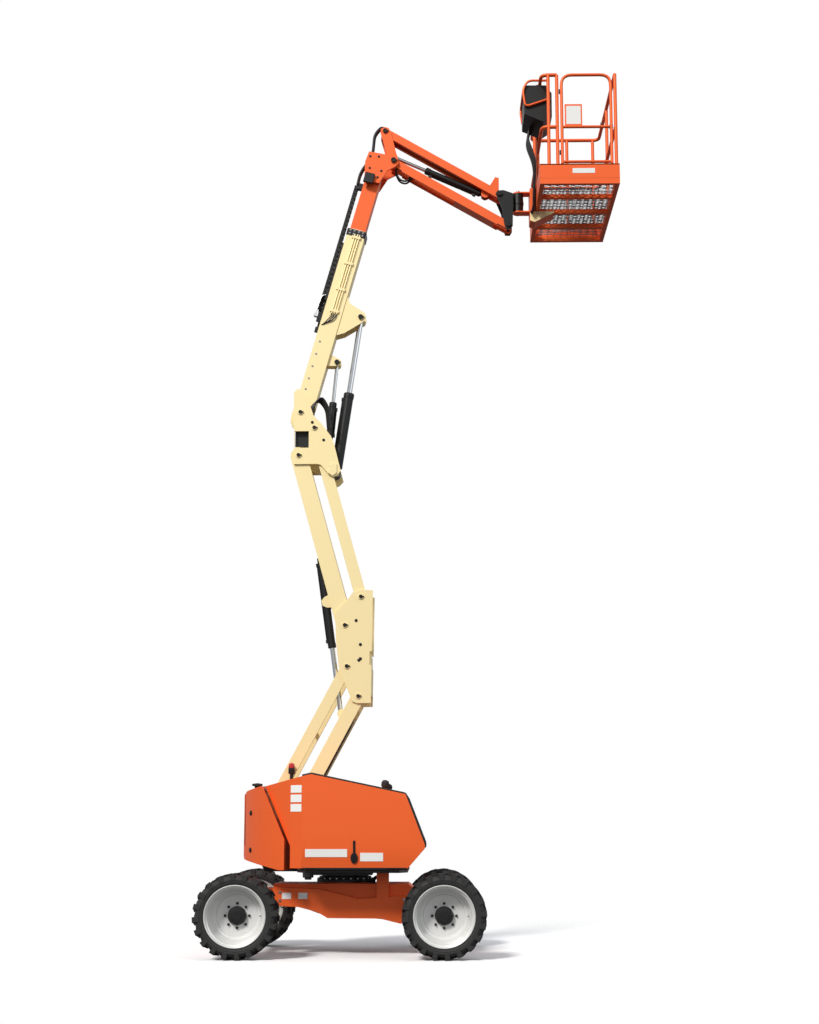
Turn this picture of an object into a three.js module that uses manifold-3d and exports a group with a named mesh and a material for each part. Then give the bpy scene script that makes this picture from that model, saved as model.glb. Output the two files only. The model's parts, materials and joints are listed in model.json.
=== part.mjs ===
// Articulating boom lift: four wheels, a slewing turntable with two hoods and a counterweight, a folding
// two-stage tower, a telescoping main boom, a parallel jib and a rotating work platform.
// Millimetres, +Z up. +X points from the steering axle towards the drive axle, -Y is the left-hand side.
// The origin is on the ground under the middle of the whole machine; the slew axis stands at slewX.

import * as THREE from "three";
import { mergeVertices } from "three/addons/utils/BufferGeometryUtils.js";
import Module from "manifold-3d";

const wasm = await Module();
wasm.setup();

// ---------------------------------------------------------------- clearances
const fitGap = 0.3; // faces that touch on the real machine
const pinGap = 0.6; // bore radius over pin radius, enough for faceted circles
const sideGap = 0.5; // beside a hinge

// ---------------------------------------------------------------- driving dimensions
const slewX = -717;
const wheelbase = 1980;
const overallWidth = 1930;
const tyreRadius = 405;
const tyreWidth = 290;
const rimRadius = 285;
const kingpinY = 560;
const hubFaceY = 700;

const chassisHalfWidth = 385;
const chassisTopZ = 660;
const deckZ = 808; // underside of the turntable plate
const deckThickness = 25;
const tailRadius = 962; // across
const tailReach = 1025; // to the rear
const hoodBottomZ = 853;
const hoodHalfWidth = 892;
const hoodInnerY = 300;
const hoodWall = 14;

// Y lanes of the tower, from the middle outwards
const barInnerY = 190;
const barThickness = 38;
const plateThickness = 20;
const barOuterY = barInnerY + barThickness;
const plateInnerY = barOuterY + sideGap;
const plateOuterY = plateInnerY + plateThickness;
const towerCylinderY = -148;
const towerPinRadius = 30;

// Tower linkage in the XZ plane, from the slew axis
const lowerArmBase = [-741, 913];
const lowerArmLength = 1860;
const lowerArmAngle = 62;
const lowerCrank = [-117, 305]; // lower link pins from lower arm pins
const knuckleRise = [-140, 725]; // upper arm pin from lower arm pin
const upperCrank = [162, 293]; // upper link pins from upper arm pins
const upperArmLength = 1847;
const upperArmAngle = 105.45;
const boomPivotRise = [15, 460]; // boom pivot from upper arm pin
const lowerArmHalfDepth = 68;
const lowerLinkHalfDepth = 56;
const upperArmHalfDepth = 86;
const upperLinkHalfDepth = 60;

// Main boom, from its pivot, along and square to its axis
const boomAngle = 74.4;
const boomHalfWidth = 85;
const boomHalfDepth = 98;
const boomBaseLength = 2140;
const boomWall = 8;
const flyHalfWidth = 70;
const flyHalfDepth = 82;
const flyLength = 2080;
const jibPivot = [2990, -165];
const liftPin = [1216, -298];
const levelPin = [675, -190];
const liftBase = [379, -147]; // from the upper arm's top pin
const levelBase = [296, 177];
const trackHalfWidth = 38;

// Jib
const jibLength = 1433;
const jibAngle = -30.6;
const jibCrank = [-93, 347]; // upper jib arm pins from lower jib arm pins
const jibHalfDepth = 40;
const jibBarInnerY = 44;
const jibBarOuterY = 80;
const jibPinRadius = 18;
const jibPlateThickness = 16;
const jibRodPin = [-13, 97]; // from the jib pivot
const jibEyeHalf = 27;
const jibBarrelPin = [1285, -60]; // along the upper jib arm

// Platform, from the rotator axis
const rotatorFromHead = 202; // from the upper jib arm's outer pin
const rotatorRadius = 56;
const rotatorHeight = 200;
const platformStandOff = 180;
const platformLength = 820;
const platformWidth = 1520;
const platformUnder = -192; // floor underside from the head's upper pin
const platformFloorDepth = 62;
const toeBoardHeight = 155;
const railHeight = 1207; // rail centre over the floor underside
const midRailHeight = 632;
const railRadius = 19;

// ---------------------------------------------------------------- finishes
function paint(color, roughness = 0.45, metalness = 0) {
  return new THREE.MeshStandardMaterial({ color, roughness, metalness });
}
const orange = paint(0xf06428);
const cream = paint(0xf5e1aa);
const black = paint(0x17181a, 0.6);
const chrome = paint(0xd8dadd, 0.12, 1);
const rimWhite = paint(0xd9d9d6, 0.5);
const tyreBlack = paint(0x1c1c1d, 0.9);
const steelGrey = paint(0x6b6f73, 0.5, 0.6);

// ---------------------------------------------------------------- solids
const rad = THREE.MathUtils.degToRad;

// A closed three.js geometry as a manifold solid.
function solid(geometry) {
  const bare = geometry.index ? geometry.toNonIndexed() : geometry.clone();
  const position = new THREE.BufferGeometry().setAttribute("position", bare.getAttribute("position"));
  const merged = mergeVertices(position, 1e-3);
  const triVerts = new Uint32Array(merged.index.array);
  const vertProperties = merged.attributes.position.array;
  const made = new wasm.Manifold(new wasm.Mesh({ numProp: 3, vertProperties, triVerts }));
  if (made.volume() > 0) {
    return made;
  }
  for (let i = 0; i < triVerts.length; i += 3) {
    [triVerts[i + 1], triVerts[i + 2]] = [triVerts[i + 2], triVerts[i + 1]];
  }
  return new wasm.Manifold(new wasm.Mesh({ numProp: 3, vertProperties, triVerts }));
}

// All the given solids joined into one.
function join(...solids) {
  return solids.flat(Infinity).reduce((whole, piece) => whole.add(piece));
}

// The first solid with all the others cut from it.
function cut(whole, ...tools) {
  return tools.flat(Infinity).reduce((rest, tool) => rest.subtract(tool), whole);
}

function block(x, y, z) {
  const geometry = new THREE.BoxGeometry(x[1] - x[0], y[1] - y[0], z[1] - z[0]);
  geometry.translate((x[0] + x[1]) / 2, (y[0] + y[1]) / 2, (z[0] + z[1]) / 2);
  return solid(geometry);
}

function outline(points) {
  return new THREE.Shape(points.map(([a, b]) => new THREE.Vector2(a, b)));
}

// An outline in XZ, extruded from y0 to y1.
function sideProfile(points, y0, y1) {
  const geometry = new THREE.ExtrudeGeometry(outline(points), { depth: y1 - y0, bevelEnabled: false });
  geometry.rotateX(Math.PI / 2);
  geometry.translate(0, y1, 0);
  return solid(geometry);
}

// An outline in XY, extruded from z0 to z1.
function planProfile(points, z0, z1) {
  const geometry = new THREE.ExtrudeGeometry(outline(points), { depth: z1 - z0, bevelEnabled: false });
  geometry.translate(0, 0, z0);
  return solid(geometry);
}

// An outline in YZ, extruded from x0 to x1.
function endProfile(points, x0, x1) {
  const geometry = new THREE.ExtrudeGeometry(outline(points), { depth: x1 - x0, bevelEnabled: false });
  geometry.applyMatrix4(new THREE.Matrix4().set(0, 0, 1, 0, 1, 0, 0, 0, 0, 1, 0, 0, 0, 0, 0, 1));
  geometry.translate(x0, 0, 0);
  return solid(geometry);
}

// The same piece on both sides of the XZ plane.
function bothSides(make) {
  return [make(-1), make(1)];
}

// A side profile between two distances from the middle, on the given side.
function sidePlate(points, inner, outer, side) {
  return side < 0 ? sideProfile(points, -outer, -inner) : sideProfile(points, inner, outer);
}

// A round pin or drum along Y.
function pin([x, z], radius, y0, y1, sides = 24) {
  const geometry = new THREE.CylinderGeometry(radius, radius, y1 - y0, sides);
  geometry.translate(x, (y0 + y1) / 2, z);
  return solid(geometry);
}

// A round post along Z.
function post([x, y], radius, z0, z1, sides = 16) {
  const geometry = new THREE.CylinderGeometry(radius, radius, z1 - z0, sides);
  geometry.rotateX(Math.PI / 2);
  geometry.translate(x, y, (z0 + z1) / 2);
  return solid(geometry);
}

// A closed profile of [radius, height] points turned about the Y axis.
function turned(profile, sides = 32) {
  const points = profile.map(([radius, height]) => new THREE.Vector2(radius, height));
  return solid(new THREE.LatheGeometry(points, sides));
}

// A closed profile of [radius, distance] points turned about the X axis, starting at x0.
function turnedAlongX(profile, [x0, y0, z0], sides = 20) {
  const points = profile.map(([radius, height]) => new THREE.Vector2(radius, height));
  const geometry = new THREE.LatheGeometry(points, sides);
  geometry.rotateZ(-Math.PI / 2);
  geometry.translate(x0, y0, z0);
  return solid(geometry);
}

// A bar of half depth h from (0, 0) to (length, 0), with round ends, as an outline.
function strapOutline(length, halfDepth, steps = 5) {
  const points = [];
  for (let i = 0; i <= steps; i += 1) {
    const angle = Math.PI / 2 + (Math.PI * i) / steps;
    points.push([halfDepth * Math.cos(angle), halfDepth * Math.sin(angle)]);
  }
  for (let i = 0; i <= steps; i += 1) {
    const angle = -Math.PI / 2 + (Math.PI * i) / steps;
    points.push([length + halfDepth * Math.cos(angle), halfDepth * Math.sin(angle)]);
  }
  return points;
}

// A round tube through corner points, each corner rounded by its own few short chords.
class TubePath extends THREE.Curve {
  constructor(corners, radius, steps = 3) {
    super();
    this.stops = [corners[0]];
    for (let i = 1; i < corners.length - 1; i += 1) {
      const before = corners[i].clone().add(corners[i - 1].clone().sub(corners[i]).setLength(radius));
      const after = corners[i].clone().add(corners[i + 1].clone().sub(corners[i]).setLength(radius));
      const bend = new THREE.QuadraticBezierCurve3(before, corners[i], after);
      this.stops.push(...bend.getPoints(steps));
    }
    this.stops.push(corners[corners.length - 1]);
  }

  getPoint(t) {
    return this.stops[Math.round(t * (this.stops.length - 1))].clone();
  }

  getPointAt(u) {
    return this.getPoint(u);
  }

  getTangentAt(u) {
    const last = this.stops.length - 1;
    const i = Math.round(u * last);
    const tangent = new THREE.Vector3();
    if (i > 0) {
      tangent.add(this.stops[i].clone().sub(this.stops[i - 1]).normalize());
    }
    if (i < last) {
      tangent.add(this.stops[i + 1].clone().sub(this.stops[i]).normalize());
    }
    return tangent.normalize();
  }
}

function tube(corners, radius, bendRadius, sides = 10) {
  const path = new TubePath(corners.map((c) => new THREE.Vector3(...c)), bendRadius);
  const section = new THREE.Shape();
  section.absarc(0, 0, radius, 0, 2 * Math.PI);
  const options = { steps: path.stops.length - 1, curveSegments: sides / 2, extrudePath: path };
  return solid(new THREE.ExtrudeGeometry(section, options));
}

// ---------------------------------------------------------------- scene
const machine = new THREE.Group();
const fromSlew = new THREE.Group();
fromSlew.name = "slew_axis";
fromSlew.position.set(slewX, 0, 0);
machine.add(fromSlew);

// A frame at (x, z) whose own X axis is raised by an angle in degrees.
function frameAt(name, [x, z], angle = 0, parent = fromSlew) {
  const frame = new THREE.Group();
  frame.name = name;
  frame.position.set(x, 0, z);
  frame.rotation.y = -rad(angle);
  parent.add(frame);
  return frame;
}

function place(name, shape, material, frame = fromSlew) {
  const mesh = shape.getMesh();
  const geometry = new THREE.BufferGeometry();
  geometry.setAttribute("position", new THREE.BufferAttribute(mesh.vertProperties, 3));
  geometry.setIndex(new THREE.BufferAttribute(mesh.triVerts, 1));
  const node = new THREE.Mesh(geometry, material);
  node.name = name;
  frame.add(node);
}

function plus([ax, az], [bx, bz]) {
  return [ax + bx, az + bz];
}

function minus([ax, az], [bx, bz]) {
  return [ax - bx, az - bz];
}

function polar(length, angle) {
  return [length * Math.cos(rad(angle)), length * Math.sin(rad(angle))];
}

// A point given along and square to a direction, as an offset in XZ.
function turn([along, across], angle) {
  const c = Math.cos(rad(angle));
  const s = Math.sin(rad(angle));
  return [along * c - across * s, along * s + across * c];
}

function distance(a, b) {
  return Math.hypot(b[0] - a[0], b[1] - a[1]);
}

function heading(a, b) {
  return THREE.MathUtils.radToDeg(Math.atan2(b[1] - a[1], b[0] - a[0]));
}

// ---------------------------------------------------------------- pins of the linkage
const lowerArmTop = plus(lowerArmBase, polar(lowerArmLength, lowerArmAngle));
const lowerLinkBase = plus(lowerArmBase, lowerCrank);
const lowerLinkTop = plus(lowerArmTop, lowerCrank);
const upperArmBase = plus(lowerArmTop, knuckleRise);
const upperLinkBase = plus(upperArmBase, upperCrank);
const upperArmTop = plus(upperArmBase, polar(upperArmLength, upperArmAngle));
const upperLinkTop = plus(upperArmTop, upperCrank);
const boomPivot = plus(upperArmTop, boomPivotRise);
const jibPivotPoint = plus(boomPivot, turn(jibPivot, boomAngle));
const jibUpperPivot = plus(jibPivotPoint, jibCrank);
const headLowerPin = plus(jibPivotPoint, polar(jibLength, jibAngle));
const headUpperPin = plus(jibUpperPivot, polar(jibLength, jibAngle));
const rotatorX = headUpperPin[0] + rotatorFromHead;
const platformX0 = rotatorX + platformStandOff;
const platformX1 = platformX0 + platformLength;
const platformZ = headUpperPin[1] + platformUnder;

// ---------------------------------------------------------------- wheels and axles
const axleX = wheelbase / 2;
const wheelSides = 28;
const tyreCentreY = overallWidth / 2 - tyreWidth / 2;

function tyre() {
  const half = tyreWidth / 2;
  const shoulder = 34;
  const bead = rimRadius + fitGap;
  return turned([
    [bead, -half + 30],
    [bead + 18, -half + 8],
    [bead + 60, -half],
    [tyreRadius - shoulder, -half + 10],
    [tyreRadius - 8, -half + shoulder],
    [tyreRadius, -half + 60],
    [tyreRadius, half - 60],
    [tyreRadius - 8, half - shoulder],
    [tyreRadius - shoulder, half - 10],
    [bead + 60, half],
    [bead + 18, half - 8],
    [bead, half - 30],
    [bead, -half + 30],
  ], wheelSides);
}

// The rim's outer side is towards +Y; its disc sits on the hub face.
function rim() {
  const half = tyreWidth / 2;
  const disc = hubFaceY + fitGap - tyreCentreY;
  const wall = 9;
  return turned([
    [0, disc],
    [rimRadius - 52, disc],
    [rimRadius - 44, -half + 30],
    [rimRadius, -half + 30.5],
    [rimRadius, half - 30.5],
    [rimRadius, half - 10],
    [rimRadius - wall, half - 10],
    [rimRadius - wall - 6, half - 34],
    [rimRadius - 32, half - 44],
    [rimRadius - 40, disc + 70],
    [rimRadius - 90, disc + 52],
    [138, disc + 36],
    [104, disc + 36],
    [96, disc + 92],
    [60, disc + 104],
    [0, disc + 104],
  ], wheelSides);
}

function wheel(name, x, side) {
  const frame = new THREE.Group();
  frame.name = name;
  frame.position.set(x, side * tyreCentreY, tyreRadius);
  frame.rotation.z = side < 0 ? Math.PI : 0;
  fromSlew.add(frame);
  place(`${name}_tyre`, tyre(), tyreBlack, frame);
  place(`${name}_rim`, rim(), rimWhite, frame);
}

const axleHalf = 62;
const kingpinRadius = 24;
const yokeHalf = 32;
const hubInner = 34; // from the kingpin
const beamEnd = 84; // short of the kingpin, clear of the steering arm
const steerArm = 170;
const tieRodZ = tyreRadius + 50;
const tieRodRadius = 16;

// Box beam whose ends carry the two steering knuckles between upper and lower ears.
function steerAxle() {
  const z0 = tyreRadius - 50;
  const z1 = tyreRadius + 50;
  const beam = block([-axleX - axleHalf, -axleX + axleHalf], [-kingpinY + beamEnd, kingpinY - beamEnd], [z0, z1]);
  const ears = bothSides((side) => {
    const ear = (low) => {
      const y = [side * (kingpinY - 110), side * kingpinY].sort((a, b) => a - b);
      const eye = post([-axleX, side * kingpinY], kingpinRadius + 4, low, low + 22, 20);
      return join(block([-axleX - 26, -axleX + 26], y, [low, low + 22]), eye);
    };
    return [ear(z1 + 36), ear(z0 - 58)];
  }).flat();
  const webs = bothSides((side) => {
    const y = [side * (kingpinY - 110), side * (kingpinY - 62)].sort((a, b) => a - b);
    return block([-axleX - 20, -axleX + 20], y, [z0 - 58, z1 + 58]);
  });
  const pins = bothSides((side) => {
    return post([-axleX, side * kingpinY], kingpinRadius, z0 - 70, z1 + 70, 20);
  });
  const saddle = block([-axleX - 30, -axleX + 30], [-90, 90], [z1 - 1, chassisNeckZ - fitGap]);
  return join(beam, ears, webs, pins, saddle);
}

// Knuckle block on the kingpin, spindle out to the hub face, arm back to the tie rod.
function knuckle(side) {
  const z0 = tyreRadius - 50 - 36 + 4;
  const z1 = tyreRadius + 50 + 36 - 4;
  const y = [side * (kingpinY - yokeHalf), side * (kingpinY + hubInner + 2)].sort((a, b) => a - b);
  const body = block([-axleX - yokeHalf, -axleX + yokeHalf], y, [z0, z1]);
  const hubY = [side * (kingpinY + hubInner), side * hubFaceY].sort((a, b) => a - b);
  const hub = pin([-axleX, tyreRadius], 96, hubY[0], hubY[1], 28);
  const flange = [side * (hubFaceY - 22), side * hubFaceY].sort((a, b) => a - b);
  const face = pin([-axleX, tyreRadius], 150, flange[0], flange[1], 28);
  const armY = [side * (kingpinY - 28), side * (kingpinY - 4)].sort((a, b) => a - b);
  const arm = block([-axleX + 20, -axleX + steerArm + 24], armY, [tieRodZ - 44, tieRodZ - tieRodRadius - 6]);
  const bore = post([-axleX, side * kingpinY], kingpinRadius + pinGap, z0 - 10, z1 + 10, 20);
  return cut(join(body, hub, face, arm), bore);
}

// Through-rod of the steering cylinder, with an eye over each steering arm.
function tieRod() {
  const eyeY = kingpinY - 22;
  const x = -axleX + steerArm;
  const rod = pin([x, tieRodZ], tieRodRadius, -eyeY, eyeY, 16);
  const eyes = bothSides((side) => {
    return post([x, side * eyeY], 24, tieRodZ - tieRodRadius - 6 + sideGap, tieRodZ + 22, 16);
  });
  return join(rod, eyes);
}

function steerCylinder() {
  const x = -axleX + steerArm;
  const barrel = pin([x, tieRodZ], 34, -150, 150, 20);
  const feet = bothSides((side) => {
    const y = [side * 90 - 12, side * 90 + 12];
    return block([-axleX + axleHalf + fitGap, x], y, [tyreRadius - 30, tieRodZ + 10]);
  });
  return cut(join(barrel, feet), pin([x, tieRodZ], tieRodRadius + pinGap, -160, 160, 16));
}

// Rear beam with a differential housing and a reduction hub at each end.
function driveAxle() {
  const beam = block([axleX - 55, axleX + 55], [-470, 470], [tyreRadius - 55, tyreRadius + 55]);
  const housing = pin([axleX, tyreRadius], 92, -120, 120, 28);
  const hubs = bothSides((side) => {
    const y = [side * 440, side * (hubFaceY - 22 + 1)].sort((a, b) => a - b);
    const face = [side * (hubFaceY - 22), side * hubFaceY].sort((a, b) => a - b);
    return join(pin([axleX, tyreRadius], 108, y[0], y[1], 28), pin([axleX, tyreRadius], 150, face[0], face[1], 28));
  });
  const pads = bothSides((side) => {
    const y = [side * 230 - 45, side * 230 + 45];
    return block([axleX - 70, axleX + 70], y, [tyreRadius - 60, chassisNeckZ - fitGap]);
  });
  return join(beam, housing, hubs, pads);
}

// ---------------------------------------------------------------- chassis
const chassisNeckZ = 500;
const ringBottomZ = 700;

// Sloped orange side boxes round a middle tray, with a neck over each axle.
function chassisFrame() {
  const top = chassisTopZ;
  const side = [
    [-690, 478], [-600, 476], [-435, 466], [-250, 418], [-150, 360], [365, 356], [570, 305],
    [642, 360], [640, 585], [333, 555], [150, 545], [-30, 593], [-240, 640], [-690, top],
  ];
  const tray = sideProfile([
    [-700, 478], [-435, 470], [-240, 400], [560, 330], [690, 420], [700, 640], [640, 690], [-690, 690],
  ], -300, 300);
  const flanks = bothSides((s) => sidePlate(side, 299, chassisHalfWidth, s));
  const frontNeck = block([-axleX - 90, -680], [-170, 170], [chassisNeckZ, 640]);
  const rearNeck = block([680, axleX + 100], [-290, 290], [chassisNeckZ, 620]);
  const nose = block([-axleX - 100, -axleX - 80], [-260, 260], [470, 650]);
  const tail = block([axleX + 98, axleX + 116], [-330, 330], [430, 640]);
  const pedestal = post([0, 0], 262, 689, ringBottomZ - fitGap, 32);
  const stopPost = block([330, 450], [-384, -312], [545, deckZ - 8]);
  return join(tray, flanks, frontNeck, rearNeck, nose, tail, pedestal, stopPost);
}

function slewRing() {
  return turnedUp([
    [0, ringBottomZ], [285, ringBottomZ], [285, ringBottomZ + 30], [262, ringBottomZ + 34],
    [262, ringBottomZ + 58], [0, ringBottomZ + 58],
  ], 36);
}

// A closed profile of [radius, z] points turned about the Z axis.
function turnedUp(profile, sides = 32) {
  const points = profile.map(([radius, height]) => new THREE.Vector2(radius, height));
  const geometry = new THREE.LatheGeometry(points, sides);
  geometry.rotateX(Math.PI / 2);
  return solid(geometry);
}

// ---------------------------------------------------------------- turntable
const hoodSide = [
  [-500, hoodBottomZ], [644, hoodBottomZ], [665, 878], [807, 1040], [807, 1075], [622, 1556],
  [-287, 1747], [-370, 1728], [-790, 1632], [-760, 1610],
];
const hoodPlan = [
  [-900, -hoodInnerY], [-366 - 560, -hoodInnerY - 40], [-760, -580], [-492, -802], [-366, -882], [-366, -hoodHalfWidth],
  [860, -hoodHalfWidth], [860, -hoodInnerY],
];
const hoodEnd = [
  [-hoodInnerY, hoodBottomZ - 10], [-hoodInnerY, 1800], [16 - hoodHalfWidth, 1800],
  [-hoodHalfWidth, 1056], [24 - hoodHalfWidth, hoodBottomZ - 10],
];
const tailSlant = [[-487, hoodBottomZ - 20], [-487, 1063], [-765, 1660], [-765, 1800]];
const tailGap = 26;

// Everything on the tail's side of the slanted seam, moved by an offset in X.
function behindSeam(offset) {
  const seam = tailSlant.map(([x, z]) => [x + offset, z]);
  return sideProfile([...seam, [-1200, 1800], [-1200, hoodBottomZ - 20]], -1000, 1000);
}

function hoodMass(inset) {
  const side = sideProfile(shrink(hoodSide, inset), -1000, -hoodInnerY);
  const plan = planProfile(shrink(hoodPlan, inset), 700, 1900);
  const end = endProfile(shrink(hoodEnd, inset), -1000, 1000);
  return side.intersect(plan).intersect(end);
}

// An outline moved inwards by a distance, corner by corner.
function shrink(points, inset) {
  const area = points.reduce((sum, [x, y], i) => {
    const [nx, ny] = points[(i + 1) % points.length];
    return sum + x * ny - nx * y;
  }, 0);
  const turnSign = Math.sign(area);
  return points.map(([x, y], i) => {
    const [px, py] = points[(i + points.length - 1) % points.length];
    const [nx, ny] = points[(i + 1) % points.length];
    const a = new THREE.Vector2(x - px, y - py).normalize();
    const b = new THREE.Vector2(nx - x, ny - y).normalize();
    const normalA = new THREE.Vector2(-a.y, a.x).multiplyScalar(turnSign);
    const normalB = new THREE.Vector2(-b.y, b.x).multiplyScalar(turnSign);
    const mitre = normalA.clone().add(normalB).normalize();
    const reach = inset / Math.max(0.3, mitre.dot(normalA));
    return [x + mitre.x * reach, y + mitre.y * reach];
  });
}

// A lid open underneath and on the tower's side, hinged along its inner top edge.
function hood() {
  const outer = hoodMass(0);
  const inner = hoodMass(hoodWall);
  const below = block([-1000, 1000], [-1000, -hoodInnerY + 1], [700, hoodBottomZ + 60]);
  const downwards = hoodMass(hoodWall).intersect(below).translate([0, 0, -30]);
  const towards = inner.translate([0, 60, 0]).intersect(block([-1000, 1000], [-700, -hoodInnerY + 60], [862, 1600]));
  const foot = downwards.translate([0, 60, 0]).intersect(block([-1000, 1000], [-330, -hoodInnerY + 60], [700, 900]));
  return cut(outer, inner, downwards, towards, foot, behindSeam(0));
}

function counterweight() {
  const bottom = deckZ + deckThickness + fitGap;
  const side = [
    [-600, bottom], [30 - tailReach, 925], [-tailReach, 960], [-tailReach, 1560], [60 - tailReach, 1600],
    [-800, 1640], [-760, 1640], [-487, 1063], [-487, bottom],
  ];
  const arc = [];
  for (let i = 0; i <= 10; i += 1) {
    const angle = rad(180 + 58 * (i / 10));
    arc.push([tailReach * Math.cos(angle), tailRadius * Math.sin(angle)]);
  }
  const plan = [...arc, [-487, -300], [-487, 0]];
  const half = sideProfile(side, -1000, 0).intersect(planProfile(plan, 700, 1800));
  const seamed = half.intersect(behindSeam(-tailGap));
  const whole = join(seamed, seamed.mirror([0, 1, 0]));
  const slot = block([-895, 0], [-plateOuterY - 14, plateOuterY + 14], [700, 1800]);
  const upperSlot = block([-1000, 0], [-plateOuterY - 14, plateOuterY + 14], [1060, 1800]);
  return cut(whole, slot, upperSlot);
}

// Deck, trays beside the tower, cheek plates with the tower's base pins.
function turntableFrame() {
  const top = deckZ + deckThickness;
  const tailEdge = -790;
  const plan = [
    [tailEdge, -plateOuterY - 4], [-470, -plateOuterY - 4], [-430, -600], [-330, -800], [560, -800],
    [640, -640], [640, 640], [560, 800], [-330, 800], [-430, 600], [-470, plateOuterY + 4],
    [tailEdge, plateOuterY + 4],
  ];
  const deck = planProfile(plan, deckZ, top);
  const hub = turnedUp([[0, ringBottomZ + 58 + fitGap], [235, ringBottomZ + 58 + fitGap], [235, top], [0, top]], 32);
  const cheek = [
    [-790, deckZ], [-560, deckZ], [-600, 980], [-700, 1180], [-800, 1296], [-900, 1290], [-925, 1200],
    [-925, 1100], [-885, 1070], [-885, 1000],
  ];
  const cheeks = bothSides((side) => sidePlate(cheek, plateInnerY, plateOuterY, side));
  const pins = [lowerArmBase, lowerLinkBase].map((at) => pin(at, towerPinRadius, -plateOuterY - 8, plateOuterY + 8));
  const skirts = bothSides((side) => {
    const y = [side * 286, side * 294].sort((a, b) => a - b);
    return block([-430, 640], y, [deckZ, hoodBottomZ + 60]);
  });
  return join(deck, hub, cheeks, pins, skirts);
}

function engineBlock() {
  return block([-260, 420], [-760, -380], [deckZ + deckThickness + fitGap, 1380]);
}

function fluidTank() {
  return block([-300, 380], [360, 760], [deckZ + deckThickness + fitGap, 1220]);
}

// ---------------------------------------------------------------- tower
// Two side bars and cross tubes; the bars' ends are bored for the tower pins.
function towerArm(length, halfDepth, crossings, extras = []) {
  const bars = bothSides((side) => sidePlate(strapOutline(length, halfDepth), barInnerY, barOuterY, side));
  const tubes = crossings.map((along) => pin([along, 0], halfDepth * 0.4, -barInnerY - 1, barInnerY + 1, 16));
  const bores = [0, length].map((along) => pin([along, 0], towerPinRadius + pinGap, -barOuterY - 5, barOuterY + 5));
  return cut(join(bars, tubes, extras), bores);
}

const towerRodPin = [1627, 80]; // along and across the lower arm
const towerTrunnion = [288, 124]; // along and across the upper arm
const trunnionPlate = 14;
const towerBarrelRadius = 38;
const trunnionHalf = towerBarrelRadius + 1;

function lowerArm() {
  const far = towerCylinderY + 26;
  const strap = [[1540, -20], [1590, 96], [1610, 112], [1646, 112], [1668, 94], [1712, -20]];
  const lugs = [
    sideProfile(strap, -barInnerY - 1, towerCylinderY - 26),
    sideProfile(strap, far, far + 16),
  ];
  const brace = block([1560, 1692], [far, barInnerY + 1], [-34, -18]);
  return towerArm(lowerArmLength, lowerArmHalfDepth, [330, 1050], [lugs, brace]);
}

function lowerLink() {
  return towerArm(lowerArmLength, lowerLinkHalfDepth, [300, 1120]);
}

function upperArm() {
  const strap = [[200, -12], [232, 130], [262, 168], [314, 168], [344, 130], [376, -12]];
  const nearLug = sideProfile(strap, -barInnerY - 1, towerCylinderY - trunnionHalf - sideGap);
  const far = towerCylinderY + trunnionHalf + sideGap;
  const farLug = sideProfile(strap, far, far + trunnionPlate);
  const brace = block([150, 226], [-barInnerY - 1, barInnerY + 1], [-24, 4]);
  const footing = sideProfile([[144, -18], [222, -18], [222, 40], [144, -2]], far, far + trunnionPlate);
  return towerArm(upperArmLength, upperArmHalfDepth, [], [nearLug, farLug, brace, footing]);
}

// One bar of the upper link; two of them run side by side, leaving the middle free for the boom.
function upperLinkBar(side) {
  const bar = sidePlate(strapOutline(upperArmLength, upperLinkHalfDepth), barInnerY, barOuterY, side);
  const bores = [0, upperArmLength].map((along) => {
    return pin([along, 0], towerPinRadius + pinGap, -barOuterY - 5, barOuterY + 5);
  });
  return cut(bar, bores);
}

// Middle upright between the lower and upper arms, drawn from the lower arm's top pin.
function midUpright() {
  const plate = [
    [129, -70], [-12, -72], [-62, -52], [-136, 132], [-198, 292], [-228, 560], [-240, 850],
    [-120, 980], [-60, 1062], [20, 1090], [145, 1083], [137, 458], [114, 455], [114, 318], [134, 314],
  ];
  const plates = bothSides((side) => sidePlate(plate, plateInnerY, plateOuterY, side));
  const web = block([100, 128], [-plateInnerY - 1, plateInnerY + 1], [20, 430]);
  const high = minus(upperLinkBase, lowerArmTop);
  const through = [[0, 0], lowerCrank, knuckleRise].map((at) => {
    return pin(at, towerPinRadius, -plateOuterY - 8, plateOuterY + 8);
  });
  const stubs = bothSides((side) => {
    const y = [side * (barInnerY - 12), side * (plateOuterY + 8)].sort((a, b) => a - b);
    return pin(high, towerPinRadius, y[0], y[1]);
  });
  return join(plates, web, through, stubs);
}

const liftEyeHalf = 57; // wide enough for the barrel to pass between its lugs when folded
const levelEyeHalf = 41;

const innerPlateY = 96;

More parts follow.
